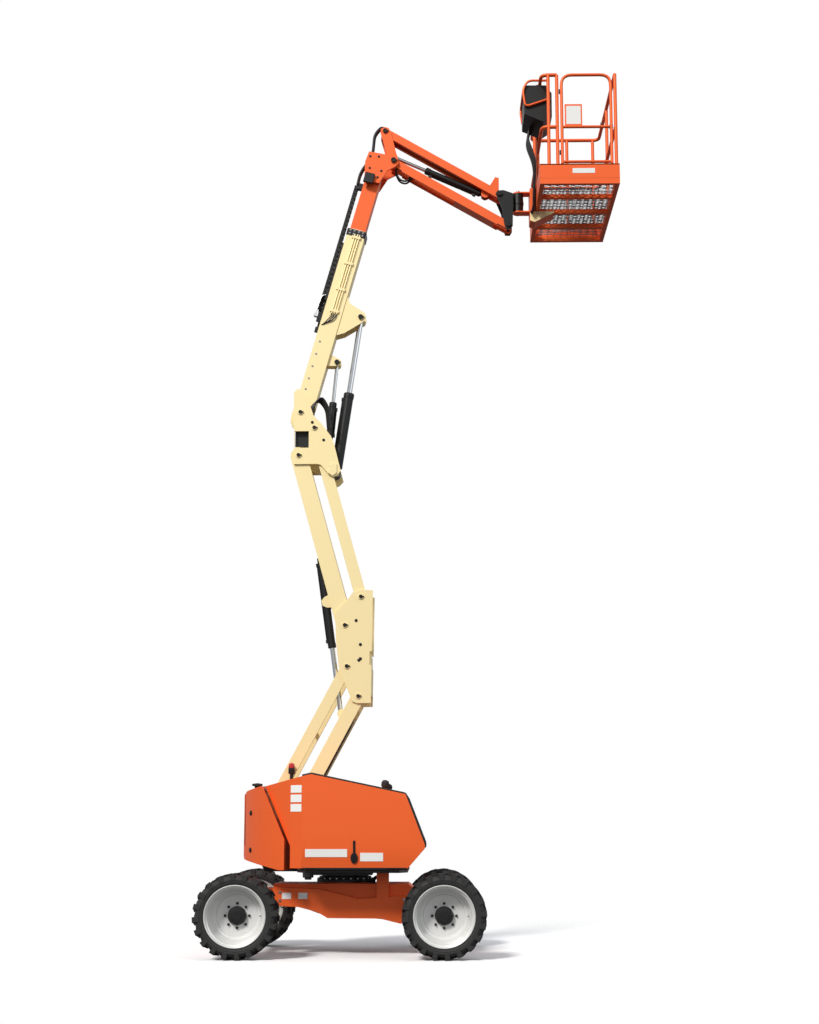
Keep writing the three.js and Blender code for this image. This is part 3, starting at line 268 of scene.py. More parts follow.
# ------------------------------------------------------------------ mesh building
class Solid:
    """A mesh put together from simple closed shapes, all in the one shared frame."""

    BOX_FACES = ((0, 1, 3, 2), (4, 6, 7, 5), (0, 4, 5, 1), (2, 3, 7, 6), (0, 2, 6, 4), (1, 5, 7, 3))

    def __init__(self) -> None:
        self.mesh = bmesh.new()

    def box(self, low: Point, high: Point) -> "Solid":
        """An upright box between two corners."""
        corners = product(*zip(low, high))
        vertices = [self.mesh.verts.new(corner) for corner in corners]
        for face in self.BOX_FACES:
            self.mesh.faces.new([vertices[i] for i in face])
        return self

    def prism(self, outline: Sequence[Point], near: float, far: float, on: "Place | None" = None) -> "Solid":
        """An outline in the side plane, carried from y = near to y = far."""
        place = on or Place(Vector((0, 0, 0)), 0.0)
        front = [self.mesh.verts.new(place.at(a, b, near)) for a, b in outline]
        back = [self.mesh.verts.new(place.at(a, b, far)) for a, b in outline]
        count = len(outline)
        self.mesh.faces.new(front)
        self.mesh.faces.new(list(reversed(back)))
        for i in range(count):
            j = (i + 1) % count
            self.mesh.faces.new([front[j], front[i], back[i], back[j]])
        return self

    def skin(self, low: list, high: list) -> "Solid":
        """Closes two matching rings of vertices into a solid."""
        self.mesh.faces.new(list(reversed(low)))
        self.mesh.faces.new(high)
        for i in range(len(low)):
            j = (i + 1) % len(low)
            self.mesh.faces.new([low[i], low[j], high[j], high[i]])
        return self

    def lathe(self, profile: Sequence[Point], centre: Point, axis: Point, sides: int = 32) -> "Solid":
        """A closed profile of (radius, distance along the axis) turned about an axis."""
        turn = Vector(axis).to_track_quat("Z", "Y").to_matrix()
        rings = []
        for radius, along in profile:
            if radius < 1e-6:
                rings.append([self.mesh.verts.new(Vector(centre) + turn @ Vector((0, 0, along)))])
                continue
            ring = []
            for i in range(sides):
                angle = 2 * math.pi * i / sides
                spoke = Vector((radius * math.cos(angle), radius * math.sin(angle), along))
                ring.append(self.mesh.verts.new(Vector(centre) + turn @ spoke))
            rings.append(ring)
        for first, second in zip(rings, rings[1:] + rings[:1]):
            self._bridge(first, second)
        return self

    def _bridge(self, first: list, second: list) -> None:
        if len(first) == 1 and len(second) == 1:
            return
        sides = max(len(first), len(second))
        for i in range(sides):
            turns = ((first, i), (first, i + 1), (second, i + 1), (second, i))
            corners = [ring[k % len(ring)] for ring, k in turns]
            self.mesh.faces.new(list(dict.fromkeys(corners)))

    def rod(self, start: Point, end: Point, radius: float, sides: int = 16) -> "Solid":
        """A capped cylinder with a small edge bevel."""
        span = Vector(end) - Vector(start)
        edge = min(radius * 0.12, span.length * 0.2)
        profile = [(0, 0), (radius - edge, 0), (radius, edge), (radius, span.length - edge),
                   (radius - edge, span.length), (0, span.length)]
        return self.lathe(profile, start, span, sides)

    def pipe(self, corners: Sequence[Point], radius: float, bend: float = 0.05, sides: int = 10) -> "Solid":
        """A round tube through corner points, with rounded bends."""
        path = rounded_path([Vector(corner) for corner in corners], bend)
        normal = None
        rings = []
        for i, point in enumerate(path):
            ahead = path[min(i + 1, len(path) - 1)] - path[max(i - 1, 0)]
            tangent = ahead.normalized()
            if normal is None:
                normal = tangent.orthogonal().normalized()
            normal = (normal - tangent * normal.dot(tangent)).normalized()
            other = tangent.cross(normal)
            ring = []
            for k in range(sides):
                angle = 2 * math.pi * k / sides
                offset = normal * math.cos(angle) + other * math.sin(angle)
                ring.append(self.mesh.verts.new(point + offset * radius))
            rings.append(ring)
        for first, second in zip(rings, rings[1:]):
            self._bridge(first, second)
        self.mesh.faces.new(list(reversed(rings[0])))
        self.mesh.faces.new(rings[-1])
        return self

    def piece(self, name: str, finish: Palette, body: str | None, bevel: float = 0.0) -> bpy.types.Object:
        """Closes the mesh into a named object that rides on a body.

        Args:
            name: The piece's name.
            finish: Its finish.
            body: The CAD body it rides on, or None for an item to be copied.
            bevel: Edge bevel width in metres, or 0.

        Returns:
            The new object.
        """
        bmesh.ops.remove_doubles(self.mesh, verts=self.mesh.verts, dist=1e-5)
        bmesh.ops.recalc_face_normals(self.mesh, faces=self.mesh.faces)
        data = bpy.data.meshes.new(name)
        self.mesh.to_mesh(data)
        self.mesh.free()
        made = add_object(name, data)
        data.materials.append(finish.material())
        if bevel > 0.0:
            round_edges(made, bevel)
        soften(data)
        if body:
            hand_over(made, finish, body)
        return made


def rounded_path(corners: list[Vector], bend: float, steps: int = 5) -> list[Vector]:
    """A polyline with its inner corners rounded."""
    path = [corners[0]]
    for before, corner, after in zip(corners, corners[1:], corners[2:]):
        reach = min(bend, (before - corner).length * 0.49, (after - corner).length * 0.49)
        start = corner + (before - corner).normalized() * reach
        end = corner + (after - corner).normalized() * reach
        for i in range(steps + 1):
            t = i / steps
            path.append(start * (1 - t) ** 2 + corner * (2 * t * (1 - t)) + end * t * t)
    path.append(corners[-1])
    return path


def add_object(name: str, data: bpy.types.ID) -> bpy.types.Object:
    """Makes an object of some data and puts it in the scene."""
    made = bpy.data.objects.new(name, data)
    bpy.context.scene.collection.objects.link(made)
    return made


def round_edges(thing: bpy.types.Object, width: float) -> None:
    """Applies a small bevel to an object's sharp edges."""
    modifier = thing.modifiers.new("edges", "BEVEL")
    modifier.width = width
    modifier.segments = 2
    modifier.limit_method = "ANGLE"
    modifier.angle_limit = math.radians(35)
    bake(thing)


def bake(thing: bpy.types.Object) -> None:
    """Replaces an object's mesh by its evaluated mesh and drops the modifiers."""
    bpy.context.view_layer.update()
    graph = bpy.context.evaluated_depsgraph_get()
    baked = bpy.data.meshes.new_from_object(thing.evaluated_get(graph))
    thing.modifiers.clear()
    thing.data = baked


def soften(data: bpy.types.Mesh, angle: float = 32.0) -> None:
    """Smooth shading with edges kept sharp above an angle."""
    data.shade_smooth()
    data.set_sharp_from_angle(angle=math.radians(angle))


def hand_over(thing: bpy.types.Object, finish: Palette, body: str) -> None:
    """Lets a finished piece ride on a body and logs it."""
    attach(thing, body)
    triangles = sum(len(face.vertices) - 2 for face in thing.data.polygons)
    log.info("piece %s on %s: %d triangles", thing.name, body, triangles)


# ------------------------------------------------------------------ places
@dataclass(frozen=True)
class Place:
    """A frame in the side plane: an origin and the elevation of its own first axis."""

    origin: Vector
    angle: float

    def at(self, along: float, across: float = 0.0, y: float = 0.0) -> Vector:
        """A point along and square to the axis."""
        c, s = math.cos(self.angle), math.sin(self.angle)
        offset = Vector((along * c - across * s, y, along * s + across * c))
        return self.origin + offset

    def box(self, solid: Solid, along: Point, across: Point, y: Point) -> Solid:
        """Adds a box aligned with this frame to a solid."""
        outline = [(along[0], across[0]), (along[1], across[0]), (along[1], across[1]), (along[0], across[1])]
        return solid.prism(outline, y[0], y[1], self)


def pin_of(joint: str) -> Vector:
    """Where a joint's axis crosses the middle plane or its own place."""
    return Vector(JOINTS[joint]["pos_m"])


def between(start: str, end: str) -> Place:
    """The frame from one joint towards another."""
    first, second = pin_of(start), pin_of(end)
    return Place(first, math.atan2(second.z - first.z, second.x - first.x))


def along_slide(base: str, slide: str) -> Place:
    """The frame at a joint, along a slide joint's axis."""
    axis = JOINTS[slide]["axis"]
    return Place(pin_of(base), math.atan2(axis[2], axis[0]))


# ------------------------------------------------------------------ geometry nodes
class CopyTree:
    """A node group that copies an item and ends with real geometry and a material."""

    def __init__(self, name: str) -> None:
        self.group = bpy.data.node_groups.new(name, "GeometryNodeTree")
        face = self.group.interface
        face.new_socket("Geometry", in_out="INPUT", socket_type="NodeSocketGeometry")
        self.item = face.new_socket("Item", in_out="INPUT", socket_type="NodeSocketObject").identifier
        self.finish = face.new_socket("Finish", in_out="INPUT", socket_type="NodeSocketMaterial").identifier
        self.count = face.new_socket("Count", in_out="INPUT", socket_type="NodeSocketInt").identifier
        self.turn = face.new_socket("Turn", in_out="INPUT", socket_type="NodeSocketVector").identifier
        self.step = face.new_socket("Step", in_out="INPUT", socket_type="NodeSocketVector").identifier
        face.new_socket("Geometry", in_out="OUTPUT", socket_type="NodeSocketGeometry")
        self.entry = self.group.nodes.new("NodeGroupInput")
        self._fill()

    def _node(self, kind: str, settings: dict | None = None, links: dict | None = None) -> bpy.types.Node:
        return add_node(self.group, kind, settings, links)

    def _points(self) -> dict:
        raise NotImplementedError

    def _fill(self) -> None:
        entry = self.entry.outputs
        item = self._node("GeometryNodeObjectInfo", None, {"Object": entry["Item"], "As Instance": True})
        links = self._points()
        links["Instance"] = item.outputs["Geometry"]
        copies = self._node("GeometryNodeInstanceOnPoints", None, links)
        real = self._node("GeometryNodeRealizeInstances", None, {0: copies.outputs[0]})
        dressed = self._node("GeometryNodeSetMaterial", None,
                             {"Geometry": real.outputs[0], "Material": entry["Finish"]})
        self._node("NodeGroupOutput", None, {0: dressed.outputs[0]})

    def run(self, name: str, host: bpy.types.Mesh, item: bpy.types.Object, finish: Palette,
            values: dict | None = None) -> bpy.types.Object:
        """Copies an item over a host mesh.

        Args:
            name: The new object's name.
            host: The mesh the tree starts from.
            item: The object to copy; it is removed afterwards.
            finish: The finish of the copies.
            values: Further input values, by socket identifier.

        Returns:
            An object holding all the copies as one mesh.
        """
        made = add_object(name, host)
        modifier = made.modifiers.new("copies", "NODES")
        modifier.node_group = self.group
        modifier[self.item] = item
        modifier[self.finish] = finish.material()
        for identifier, value in (values or {}).items():
            modifier[identifier] = value
        bake(made)
        soften(made.data)
        made.name = name
        bpy.data.objects.remove(item)
        return made


class ScatterTree(CopyTree):
    """Copies at a mesh's vertices, turned by its "turn" attribute."""

    def _points(self) -> dict:
        turn = self._node("GeometryNodeInputNamedAttribute", {"data_type": "FLOAT_VECTOR"}, {"Name": "turn"})
        return {"Points": self.entry.outputs["Geometry"], "Rotation": turn.outputs["Attribute"]}


class SeriesTree(CopyTree):
    """A number of copies, each turned and shifted by one more step."""

    def _points(self) -> dict:
        entry = self.entry.outputs
        index = self._node("GeometryNodeInputIndex").outputs[0]
        scaled = []
        for name in ("Step", "Turn"):
            links = {0: entry[name], "Scale": index}
            scaled.append(self._node("ShaderNodeVectorMath", {"operation": "SCALE"}, links).outputs[0])
        shift, turn = scaled
        points = self._node("GeometryNodePoints", None, {"Count": entry["Count"], "Position": shift})
        return {"Points": points.outputs[0], "Rotation": turn}


class Copier:
    """Makes repeated detail through the two copy trees."""

    def __init__(self) -> None:
        self.scatter_tree = ScatterTree("scatter_copies")
        self.series_tree = SeriesTree("series_copies")

    def scatter(self, name: str, item: bpy.types.Object, places: Sequence[tuple[Point, Point]],
                finish: Palette, body: str) -> bpy.types.Object:
        """Copies an item to places, each a position and a turn in radians about X, Y and Z."""
        host = bpy.data.meshes.new(name)
        host.from_pydata([tuple(position) for position, _ in places], [], [])
        turns = host.attributes.new("turn", "FLOAT_VECTOR", "POINT")
        for value, (_, turn) in zip(turns.data, places):
            value.vector = turn
        made = self.scatter_tree.run(name, host, item, finish)
        hand_over(made, finish, body)
        return made

    def series(self, name: str, item: bpy.types.Object, count: int, finish: Palette, body: str | None,
               turn: Point = (0, 0, 0), step: Point = (0, 0, 0),
               start: Matrix | None = None) -> bpy.types.Object:
        """Copies an item a number of times, each turned and moved by one more step, then places it all."""
        tree = self.series_tree
        values = {tree.count: count, tree.turn: tuple(turn), tree.step: tuple(step)}
        made = tree.run(name, bpy.data.meshes.new(name), item, finish, values)
        if start is not None:
            made.data.transform(start)
        if body:
            hand_over(made, finish, body)
        return made


def merged(name: str, things: Sequence[bpy.types.Object], finish: Palette, body: str) -> bpy.types.Object:
    """Several unparented objects joined into one piece."""
    mesh = bmesh.new()
    for thing in things:
        mesh.from_mesh(thing.data)
        bpy.data.objects.remove(thing)
    data = bpy.data.meshes.new(name)
    mesh.to_mesh(data)
    mesh.free()
    data.materials.append(finish.material())
    made = add_object(name, data)
    soften(data)
    hand_over(made, finish, body)
    return made


def bolt_item(radius: float = 0.011, height: float = 0.009) -> bpy.types.Object:
    """A hexagon bolt head with its washer, standing along -Y."""
    solid = Solid()
    solid.lathe([(0, 0), (radius * 1.25, 0), (radius * 1.25, 0.003), (0, 0.003)], (0, 0, 0), (0, -1, 0), 16)
    solid.lathe([(0, 0.002), (radius, 0.002), (radius, height - 0.001), (radius * 0.85, height), (0, height)],
                (0, 0, 0), (0, -1, 0), 6)
    return solid.piece("bolt_item", Palette.STEEL, None)


def pin_cap_item(radius: float) -> bpy.types.Object:
    """A pin's head with a keeper plate, standing along -Y."""
    solid = Solid()
    profile = [(0, 0), (radius, 0), (radius, 0.010), (radius - 0.003, 0.014), (radius * 0.45, 0.014),
               (radius * 0.4, 0.010), (0, 0.010)]
    solid.lathe(profile, (0, 0, 0), (0, -1, 0), 28)
    solid.box((radius * 0.5, -0.006, -0.007), (radius + 0.014, 0, 0.007))
    return solid.piece("pin_cap_item", Palette.BLACK, None)


def facing(side: int) -> tuple[float, float, float]:
    """The turn that points an item made along -Y to the given side."""
    return (0.0, 0.0, 0.0) if side == NEAR else (0.0, 0.0, math.pi)


def on_both_sides(points: Sequence[Vector], y: float) -> list[tuple[Point, Point]]:
    """Places over points of the middle plane, at y from it on both sides and turned outwards."""
    return [((point.x, side * y, point.z), facing(side)) for point in points for side in SIDES]


# ------------------------------------------------------------------ CAD nodes
class CadCoat:
    """Gives the CAD nodes their finishes and soft edges without moving a vertex of theirs."""

    SLOTS = {finish.value.slot: finish for finish in Palette if finish.value.slot}
    BEVEL = 0.003
    SHARPEST = 32.0
    WELD = 1e-5
    UNTOUCHED = ("fly_boom",)

    def apply(self) -> None:
        """Dresses every CAD node by its record slot."""
        slots = {part["node"]: part["material_slot"] for part in frame["record"]["subparts"]}
        for name, node in frame["nodes"].items():
            finish = self.SLOTS[slots[name]]
            node.data.materials.clear()
            node.data.materials.append(finish.material())
            self._edges(node)

    def _edges(self, node: bpy.types.Object) -> None:
        normals = node.data.attributes.get("custom_normal")
        if normals:
            node.data.attributes.remove(normals)
        if node.name in self.UNTOUCHED:
            node.data.shade_flat()
            return
        node.data.shade_smooth()
        weld = node.modifiers.new("weld", "WELD")
        weld.merge_threshold = self.WELD
        flat = node.modifiers.new("flat", "DECIMATE")
        flat.decimate_type = "DISSOLVE"
        flat.angle_limit = math.radians(1.0)
        bevel = node.modifiers.new("edges", "BEVEL")
        bevel.width = self.BEVEL
        bevel.segments = 2
        bevel.limit_method = "ANGLE"
        bevel.angle_limit = math.radians(self.SHARPEST)
        bevel.use_clamp_overlap = True
        shade = node.modifiers.new("shade", "WEIGHTED_NORMAL")
        shade.keep_sharp = False


# ------------------------------------------------------------------ wheels
@dataclass
class Wheel:
    """One wheel: lugged tyre, deep-dished rim, black hub and studs."""

    name: str
    side: int
    copier: Copier
    radius: float = 0.404
    width: float = 0.288
    bead: float = 0.294
    lugs: int = 20
    studs: int = 8

    def __post_init__(self) -> None:
        low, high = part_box(f"{self.name}_tyre")
        self.centre = (low + high) / 2
        self.half = self.width / 2
        self.axis = (0, self.side, 0)

    def build(self) -> None:
        """Makes the wheel's pieces."""
        rubber = [self._carcass(), self._tread(1), self._tread(-1)]
        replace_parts(merged(f"{self.name}_tread", rubber, Palette.TYRE, self.name), f"{self.name}_tyre")
        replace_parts(self._rim(), f"{self.name}_rim")
        self._hub()

    def _carcass(self) -> bpy.types.Object:
        half, bead = self.half, self.bead
        profile = [
            (bead, -half + 0.032), (bead + 0.008, -half + 0.012), (bead + 0.03, -half + 0.004),
            (bead + 0.034, -half + 0.007), (bead + 0.05, -half + 0.004), (0.352, -half + 0.008),
            (0.372, -half + 0.02), (0.381, -half + 0.045), (0.383, 0.0), (0.381, half - 0.045),
            (0.372, half - 0.02), (0.352, half - 0.008), (bead + 0.05, half - 0.004),
            (bead + 0.034, half - 0.007), (bead + 0.03, half - 0.004), (bead + 0.008, half - 0.012),
            (bead, half - 0.032),
        ]
        return Solid().lathe(profile, self.centre, self.axis, 72).piece("carcass", Palette.TYRE, None)

    def _tread(self, hand: int) -> bpy.types.Object:
        half = self.half
        low = 0.372
        centre_bar = [(-0.030, 0.006), (0.004, 0.006), (0.050, 0.080), (0.062, half - 0.004),
                      (0.008, half - 0.004), (0.0, 0.085)]
        solid = Solid()
        self._lug(solid, centre_bar, low, self.radius, hand)
        shoulder = [(0.006, half - 0.022), (0.062, half - 0.022), (0.060, half), (0.010, half)]
        self._lug(solid, shoulder, 0.338, 0.392, hand)
        item = solid.piece("lug", Palette.TYRE, None)
        start = Matrix.Translation(self.centre)
        if hand < 0:
            start = start @ Matrix.Rotation(math.pi / self.lugs, 4, "Y")
        step = 2 * math.pi / self.lugs
        return self.copier.series("tread_side", item, self.lugs, Palette.TYRE, None,
                                  turn=(0, step, 0), start=start)

    def _lug(self, solid: Solid, outline: Sequence[Point], low: float, high: float, hand: int) -> None:
        def wrap(arc: float, y: float, radius: float) -> tuple[float, float, float]:
            angle = arc / self.radius
            return (radius * math.sin(angle), y * hand, radius * math.cos(angle))

        bottom = [solid.mesh.verts.new(wrap(a, y, low)) for a, y in outline]
        top = [solid.mesh.verts.new(wrap(a * 0.96 + 0.001, y, high)) for a, y in outline]
        solid.mesh.faces.new(top)
        solid.mesh.faces.new(list(reversed(bottom)))
        for i in range(len(outline)):
            j = (i + 1) % len(outline)
            solid.mesh.faces.new([bottom[i], bottom[j], top[j], top[i]])

    def _rim(self) -> bpy.types.Object:
        half, bead = self.half, self.bead
        profile = [
            (0.0, -0.106), (0.215, -0.106), (0.232, -0.09), (0.250, -0.06), (bead - 0.012, -half + 0.05),
            (bead - 0.001, -half + 0.034), (bead, -half + 0.030), (bead - 0.001, half - 0.034),
            (bead + 0.002, half - 0.010), (bead - 0.004, half - 0.004), (bead - 0.012, half - 0.010),
            (bead - 0.016, half - 0.030), (bead - 0.030, half - 0.040), (bead - 0.034, 0.0),
            (0.238, -0.040), (0.222, -0.055), (0.205, -0.058), (0.196, -0.070), (0.120, -0.074),
            (0.0, -0.074),
        ]
        dish = Solid().lathe(profile, self.centre, self.axis, 64)
        return dish.piece(f"{self.name}_dish", Palette.RIM, self.name)

    def _hub(self) -> None:
        profile = [(0.0, -0.078), (0.090, -0.078), (0.090, -0.050), (0.084, -0.034),
                   (0.080, -0.022), (0.046, -0.019), (0.044, -0.016), (0.0, -0.016)]
        hub = Solid().lathe(profile, self.centre, self.axis, 40)
        hub.piece(f"{self.name}_hub", Palette.BLACK, self.name)
        stud = Solid().lathe([(0, 0), (0.014, 0), (0.014, 0.012), (0.009, 0.014), (0.009, 0.024), (0, 0.024)],
                             (0.116, 0, 0), (0, self.side, 0), 6)
        start = Matrix.Translation(self.centre + Vector((0, self.side * -0.075, 0)))
        self.copier.series(f"{self.name}_studs", stud.piece("stud", Palette.STEEL, None), self.studs,
                           Palette.BLACK, self.name, turn=(0, 2 * math.pi / self.studs, 0), start=start)
        valve = Solid().rod(self.centre + Vector((0.235, self.side * -0.03, 0.0)),
                            self.centre + Vector((0.222, self.side * 0.03, 0.0)), 0.004, 8)
        valve.piece(f"{self.name}_valve", Palette.PLASTIC, self.name)


# ------------------------------------------------------------------ chassis
@dataclass
class Chassis:
    """Undercarriage dressing: slew bolts, side bolts, hoses, plates, tie-down rings, end bolts and tow rings."""

    copier: Copier
    ring_bolts: int = 24
    ring_radius: float = 0.272
    web_y: float = 0.3852
    plate_thickness: float = 0.002

    def build(self) -> None:
        """Makes the undercarriage pieces."""
        low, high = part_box("chassis_frame")
        ring_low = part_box("slew_ring")[0]
        slew = Vector((pin_of("swing").x, 0, 0))
        bolt = Solid().lathe([(0, 0), (0.010, 0), (0.010, 0.012), (0, 0.012)],
                             (self.ring_radius, 0, ring_low.z + 0.030), (0, 0, 1), 6)
        self.copier.series("slew_ring_bolts", bolt.piece("bolt", Palette.STEEL, None), self.ring_bolts,
                           Palette.STEEL, "chassis", turn=(0, 0, 2 * math.pi / self.ring_bolts),
                           start=Matrix.Translation(slew))
        self._side_details(slew)
        self._hoses(slew, ring_low.z)
        self._ends(low, high)

    def _side_details(self, slew: Vector) -> None:
        spots = ((-0.62, 0.61), (-0.62, 0.53), (0.60, 0.54), (0.60, 0.40))
        bolts = on_both_sides([slew + Vector((x, 0, z)) for x, z in spots], self.web_y)
        self.copier.scatter("chassis_bolts", bolt_item(), bolts, Palette.STEEL, "chassis")
        for side, tag in ((NEAR, "left"), (FAR, "right")):
            plate = Solid()
            for x in (-0.60, -0.44):
                y = sorted((side * self.web_y, side * (self.web_y + self.plate_thickness)))
                plate.box((slew.x + x, y[0], 0.545), (slew.x + x + 0.09, y[1], 0.605))
            plate.piece(f"chassis_plates_{tag}", Palette.LABEL, "chassis")
            rings = Solid()
            for x in (-0.66, 0.62):
                y = side * 0.398
                back, front = slew.x + x - 0.03, slew.x + x + 0.03
                corners = [(back, y, 0.47), (back, y, 0.42), (front, y, 0.42), (front, y, 0.47)]
                rings.pipe(corners, 0.007, 0.02, 8)
            rings.piece(f"tie_downs_{tag}", Palette.STEEL, "chassis")

    def _hoses(self, slew: Vector, top: float) -> None:
        solid = Solid()
        for i in range(5):
            y = -0.16 + i * 0.05
            x = slew.x + 0.36 + 0.02 * (i % 2)
            solid.pipe([(x - 0.02, y, 0.65), (x, y, top + 0.02), (x - 0.04, y, top + 0.06),
                        (x - 0.09, y, top + 0.02), (x - 0.08, y, 0.66)], 0.011, 0.04, 8)
        for side in SIDES:
            y = side * 0.30
            solid.pipe([(slew.x - 0.66, y, 0.50), (slew.x - 0.80, y, 0.52),
                        (slew.x - 0.84, side * 0.22, 0.50), (slew.x - 0.84, side * 0.16, 0.475)],
                       0.009, 0.05, 8)
        solid.piece("chassis_hoses", Palette.HOSE, "chassis")

    def _ends(self, low: Vector, high: Vector) -> None:
        places = []
        for y in (-0.22, -0.08, 0.08, 0.22):
            places.append(((low.x - 0.0004, y, 0.62), (0.0, 0.0, -math.pi / 2)))
            places.append(((high.x + 0.0004, y, 0.60), (0.0, 0.0, math.pi / 2)))
        self.copier.scatter("chassis_end_bolts", bolt_item(0.013, 0.01), places, Palette.STEEL, "chassis")
        hooks = Solid()
        for y in (-0.26, 0.26):
            hooks.pipe([(high.x - 0.01, y - 0.03, 0.50), (high.x + 0.028, y - 0.03, 0.50),
                        (high.x + 0.028, y + 0.03, 0.50), (high.x - 0.01, y + 0.03, 0.50)], 0.009, 0.02, 8)
        hooks.piece("tow_rings", Palette.BLACK, "chassis")


# ------------------------------------------------------------------ turntable
@dataclass
class Turntable:
    """Hood trim, latches, plates, vents, knobs and the deck's fittings."""

    copier: Copier
    widest: float = 0.892
    widest_height: float = 1.056
    lean_below: float = 0.024 / 0.213
    lean_above: float = 0.016 / 0.744
    vent_slots: int = 8
    vent_pitch: float = 0.034
    vent_lean: float = -23.1
    weight_reach: float = 1.025
    weight_half_width: float = 0.962

    def build(self) -> None:
        """Makes the pieces of the turntable and both hoods."""
        for side, tag in ((NEAR, "left"), (FAR, "right")):
            self._hood(side, f"hood_{tag}")
        self._counterweight()
        self._deck()

    def _lean(self, z: float) -> float:
        """Half width of the hood at a height; its side leans in above and below its widest line."""
        rise = z - self.widest_height
        return self.widest - (self.lean_above * rise if rise >= 0 else -self.lean_below * rise)

    def _against(self, solid: Solid, side: int) -> Solid:
        """Moves a solid made around y = 0, -Y outwards, against the hood's side."""
        for vertex in solid.mesh.verts:
            vertex.co.y = side * (self._lean(vertex.co.z) - vertex.co.y)
        return solid

    def _hood(self, side: int, body: str) -> None:
        slew = pin_of("swing").x
        roof = [(-0.372, 1.7276), (-0.287, 1.7478), (0.622, 1.5560), (0.8075, 1.078), (0.8075, 1.045)]
        trim = Solid()
        for y in (0.33, 0.866):
            trim.pipe([(slew + x, side * y, z + 0.005) for x, z in roof], 0.011, 0.02, 8)
        skirt = [(slew - 0.36, side * 0.866, 0.8555), (slew + 0.63, side * 0.866, 0.8555)]
        trim.pipe(skirt, 0.006, 0.01, 8)
        trim.piece(f"{body}_trim", Palette.PLASTIC, body)
        latch = Solid()
        x, z = slew + 0.133, 0.950
        turns = [2 * math.pi * i / 28 for i in range(28)]
        latch.prism([(x + 0.034 * math.cos(a), z + 0.052 * math.sin(a)) for a in turns], -0.014, 0.004)
        latch.box((x - 0.011, -0.011, z + 0.02), (x + 0.011, 0.002, z + 0.165))
        self._against(latch, side).piece(f"{body}_latch", Palette.BLACK, body, 0.0015)
        self._plates(side, body, slew)
        self._vents(side, body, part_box(body)[1])
        knob = Solid()
        knob.lathe([(0, 0), (0.024, 0), (0.024, 0.024), (0.036, 0.036), (0.040, 0.070), (0.028, 0.094),
                    (0, 0.102)], (slew + 0.407, side * 0.60, 1.600), (0.2, 0, 1), 20)
        knob.piece(f"{body}_knob", Palette.PLASTIC, body)

    def _plates(self, side: int, body: str, slew: float) -> None:
        solid = Solid()
        for x0, x1, z0, z1 in ((-0.335, 0.066, 0.96, 1.035), (0.19, 0.409, 0.92, 1.0)):
            solid.box((slew + x0, -0.0032, z0), (slew + x1, 0.001, z1))
        self._against(solid, side)
        along = Vector((0.844, -0.536, 0.0))
        out = Vector((-0.536, -0.844, 0.0))
        middle = Vector((slew - 0.429, -0.842, 0.0))
        section = ((-0.065, -0.02), (0.065, -0.02), (0.065, 0.003), (-0.065, 0.003))
        for z in (1.39, 1.48, 1.57):
            corners = [middle + along * a + out * b for a, b in section]
            low = [solid.mesh.verts.new((c.x, -side * c.y, z)) for c in corners]
            high = [solid.mesh.verts.new((c.x, -side * c.y, z + 0.072)) for c in corners]
            solid.skin(low, high)
        solid.piece(f"{body}_plates", Palette.LABEL, body)

    def _vents(self, side: int, body: str, high: Vector) -> None:
        slot = Solid().box((-0.002, -0.15, 0.0), (0.003, 0.15, 0.014))
        tilt = Matrix.Rotation(math.radians(self.vent_lean), 4, "Y")
        step = tilt @ Vector((0, 0, self.vent_pitch))
        slot_item = slot.piece("slot", Palette.PLASTIC, None)
        slot_item.data.transform(tilt)
        self.copier.series(f"{body}_vents", slot_item, self.vent_slots, Palette.PLASTIC, body, step=step,
                           start=Matrix.Translation((high.x - 0.055, side * 0.60, 1.204)))

    def _counterweight(self) -> None:
        slew = pin_of("swing").x
        reach, half = self.weight_reach, self.weight_half_width
        places = []
        for side in SIDES:
            for z in (1.02, 1.38):
                y = side * 0.44
                back = -reach * math.sqrt(1.0 - (y / half) ** 2)
                turn = math.atan2(y / half**2, back / reach**2) + math.pi / 2
                places.append(((slew + back + 0.002, y, z), (0.0, 0.0, turn)))
        plug = bolt_item(0.022, 0.012)
        self.copier.scatter("counterweight_plugs", plug, places, Palette.BLACK, "turntable")
        knobs = Solid()
        for side in SIDES:
            knobs.lathe([(0, 0), (0.026, 0), (0.026, 0.018), (0.052, 0.026), (0.052, 0.044), (0, 0.052)],
                        (slew - 0.850, side * 0.46, 1.622), (0, 0, 1), 20)
        knobs.piece("lifting_plugs", Palette.PLASTIC, "turntable")

    def _deck(self) -> None:
        slew = pin_of("swing").x
        details = Solid()
        for side in SIDES:
            details.box((slew - 0.28, side * 0.62 - 0.12, 0.786), (slew + 0.30, side * 0.62 + 0.12, 0.8075))
            details.box((slew - 0.10, side * 0.42 - 0.05, 0.770), (slew + 0.10, side * 0.42 + 0.05, 0.8075))
        details.piece("deck_trays", Palette.BLACK, "turntable", 0.003)
        motor = Solid()
        motor.rod((slew - 0.36, -0.20, 0.745), (slew - 0.36, -0.20, 0.8075), 0.055, 20)
        motor.rod((slew - 0.36, -0.20, 0.725), (slew - 0.36, -0.20, 0.745), 0.035, 16)
        motor.piece("swing_motor", Palette.GREY, "turntable")
        x, y = slew - 0.529, -0.28
        neck = Solid().rod((x, y, 0.855), (x, y, 1.790), 0.018, 16)
        neck.lathe([(0, 0), (0.030, 0), (0.034, 0.010), (0.032, 0.060), (0, 0.060)],
                   (x, y, 1.770), (0, 0, 1), 20)
        neck.piece("filler_neck", Palette.BLACK, "turntable")
        cap = Solid().lathe([(0, 0), (0.031, 0), (0.033, 0.008), (0.028, 0.040), (0.016, 0.052), (0, 0.054)],
                            (x, y, 1.826), (0, 0, 1), 20)
        cap.piece("filler_cap", Palette.RED, "turntable")


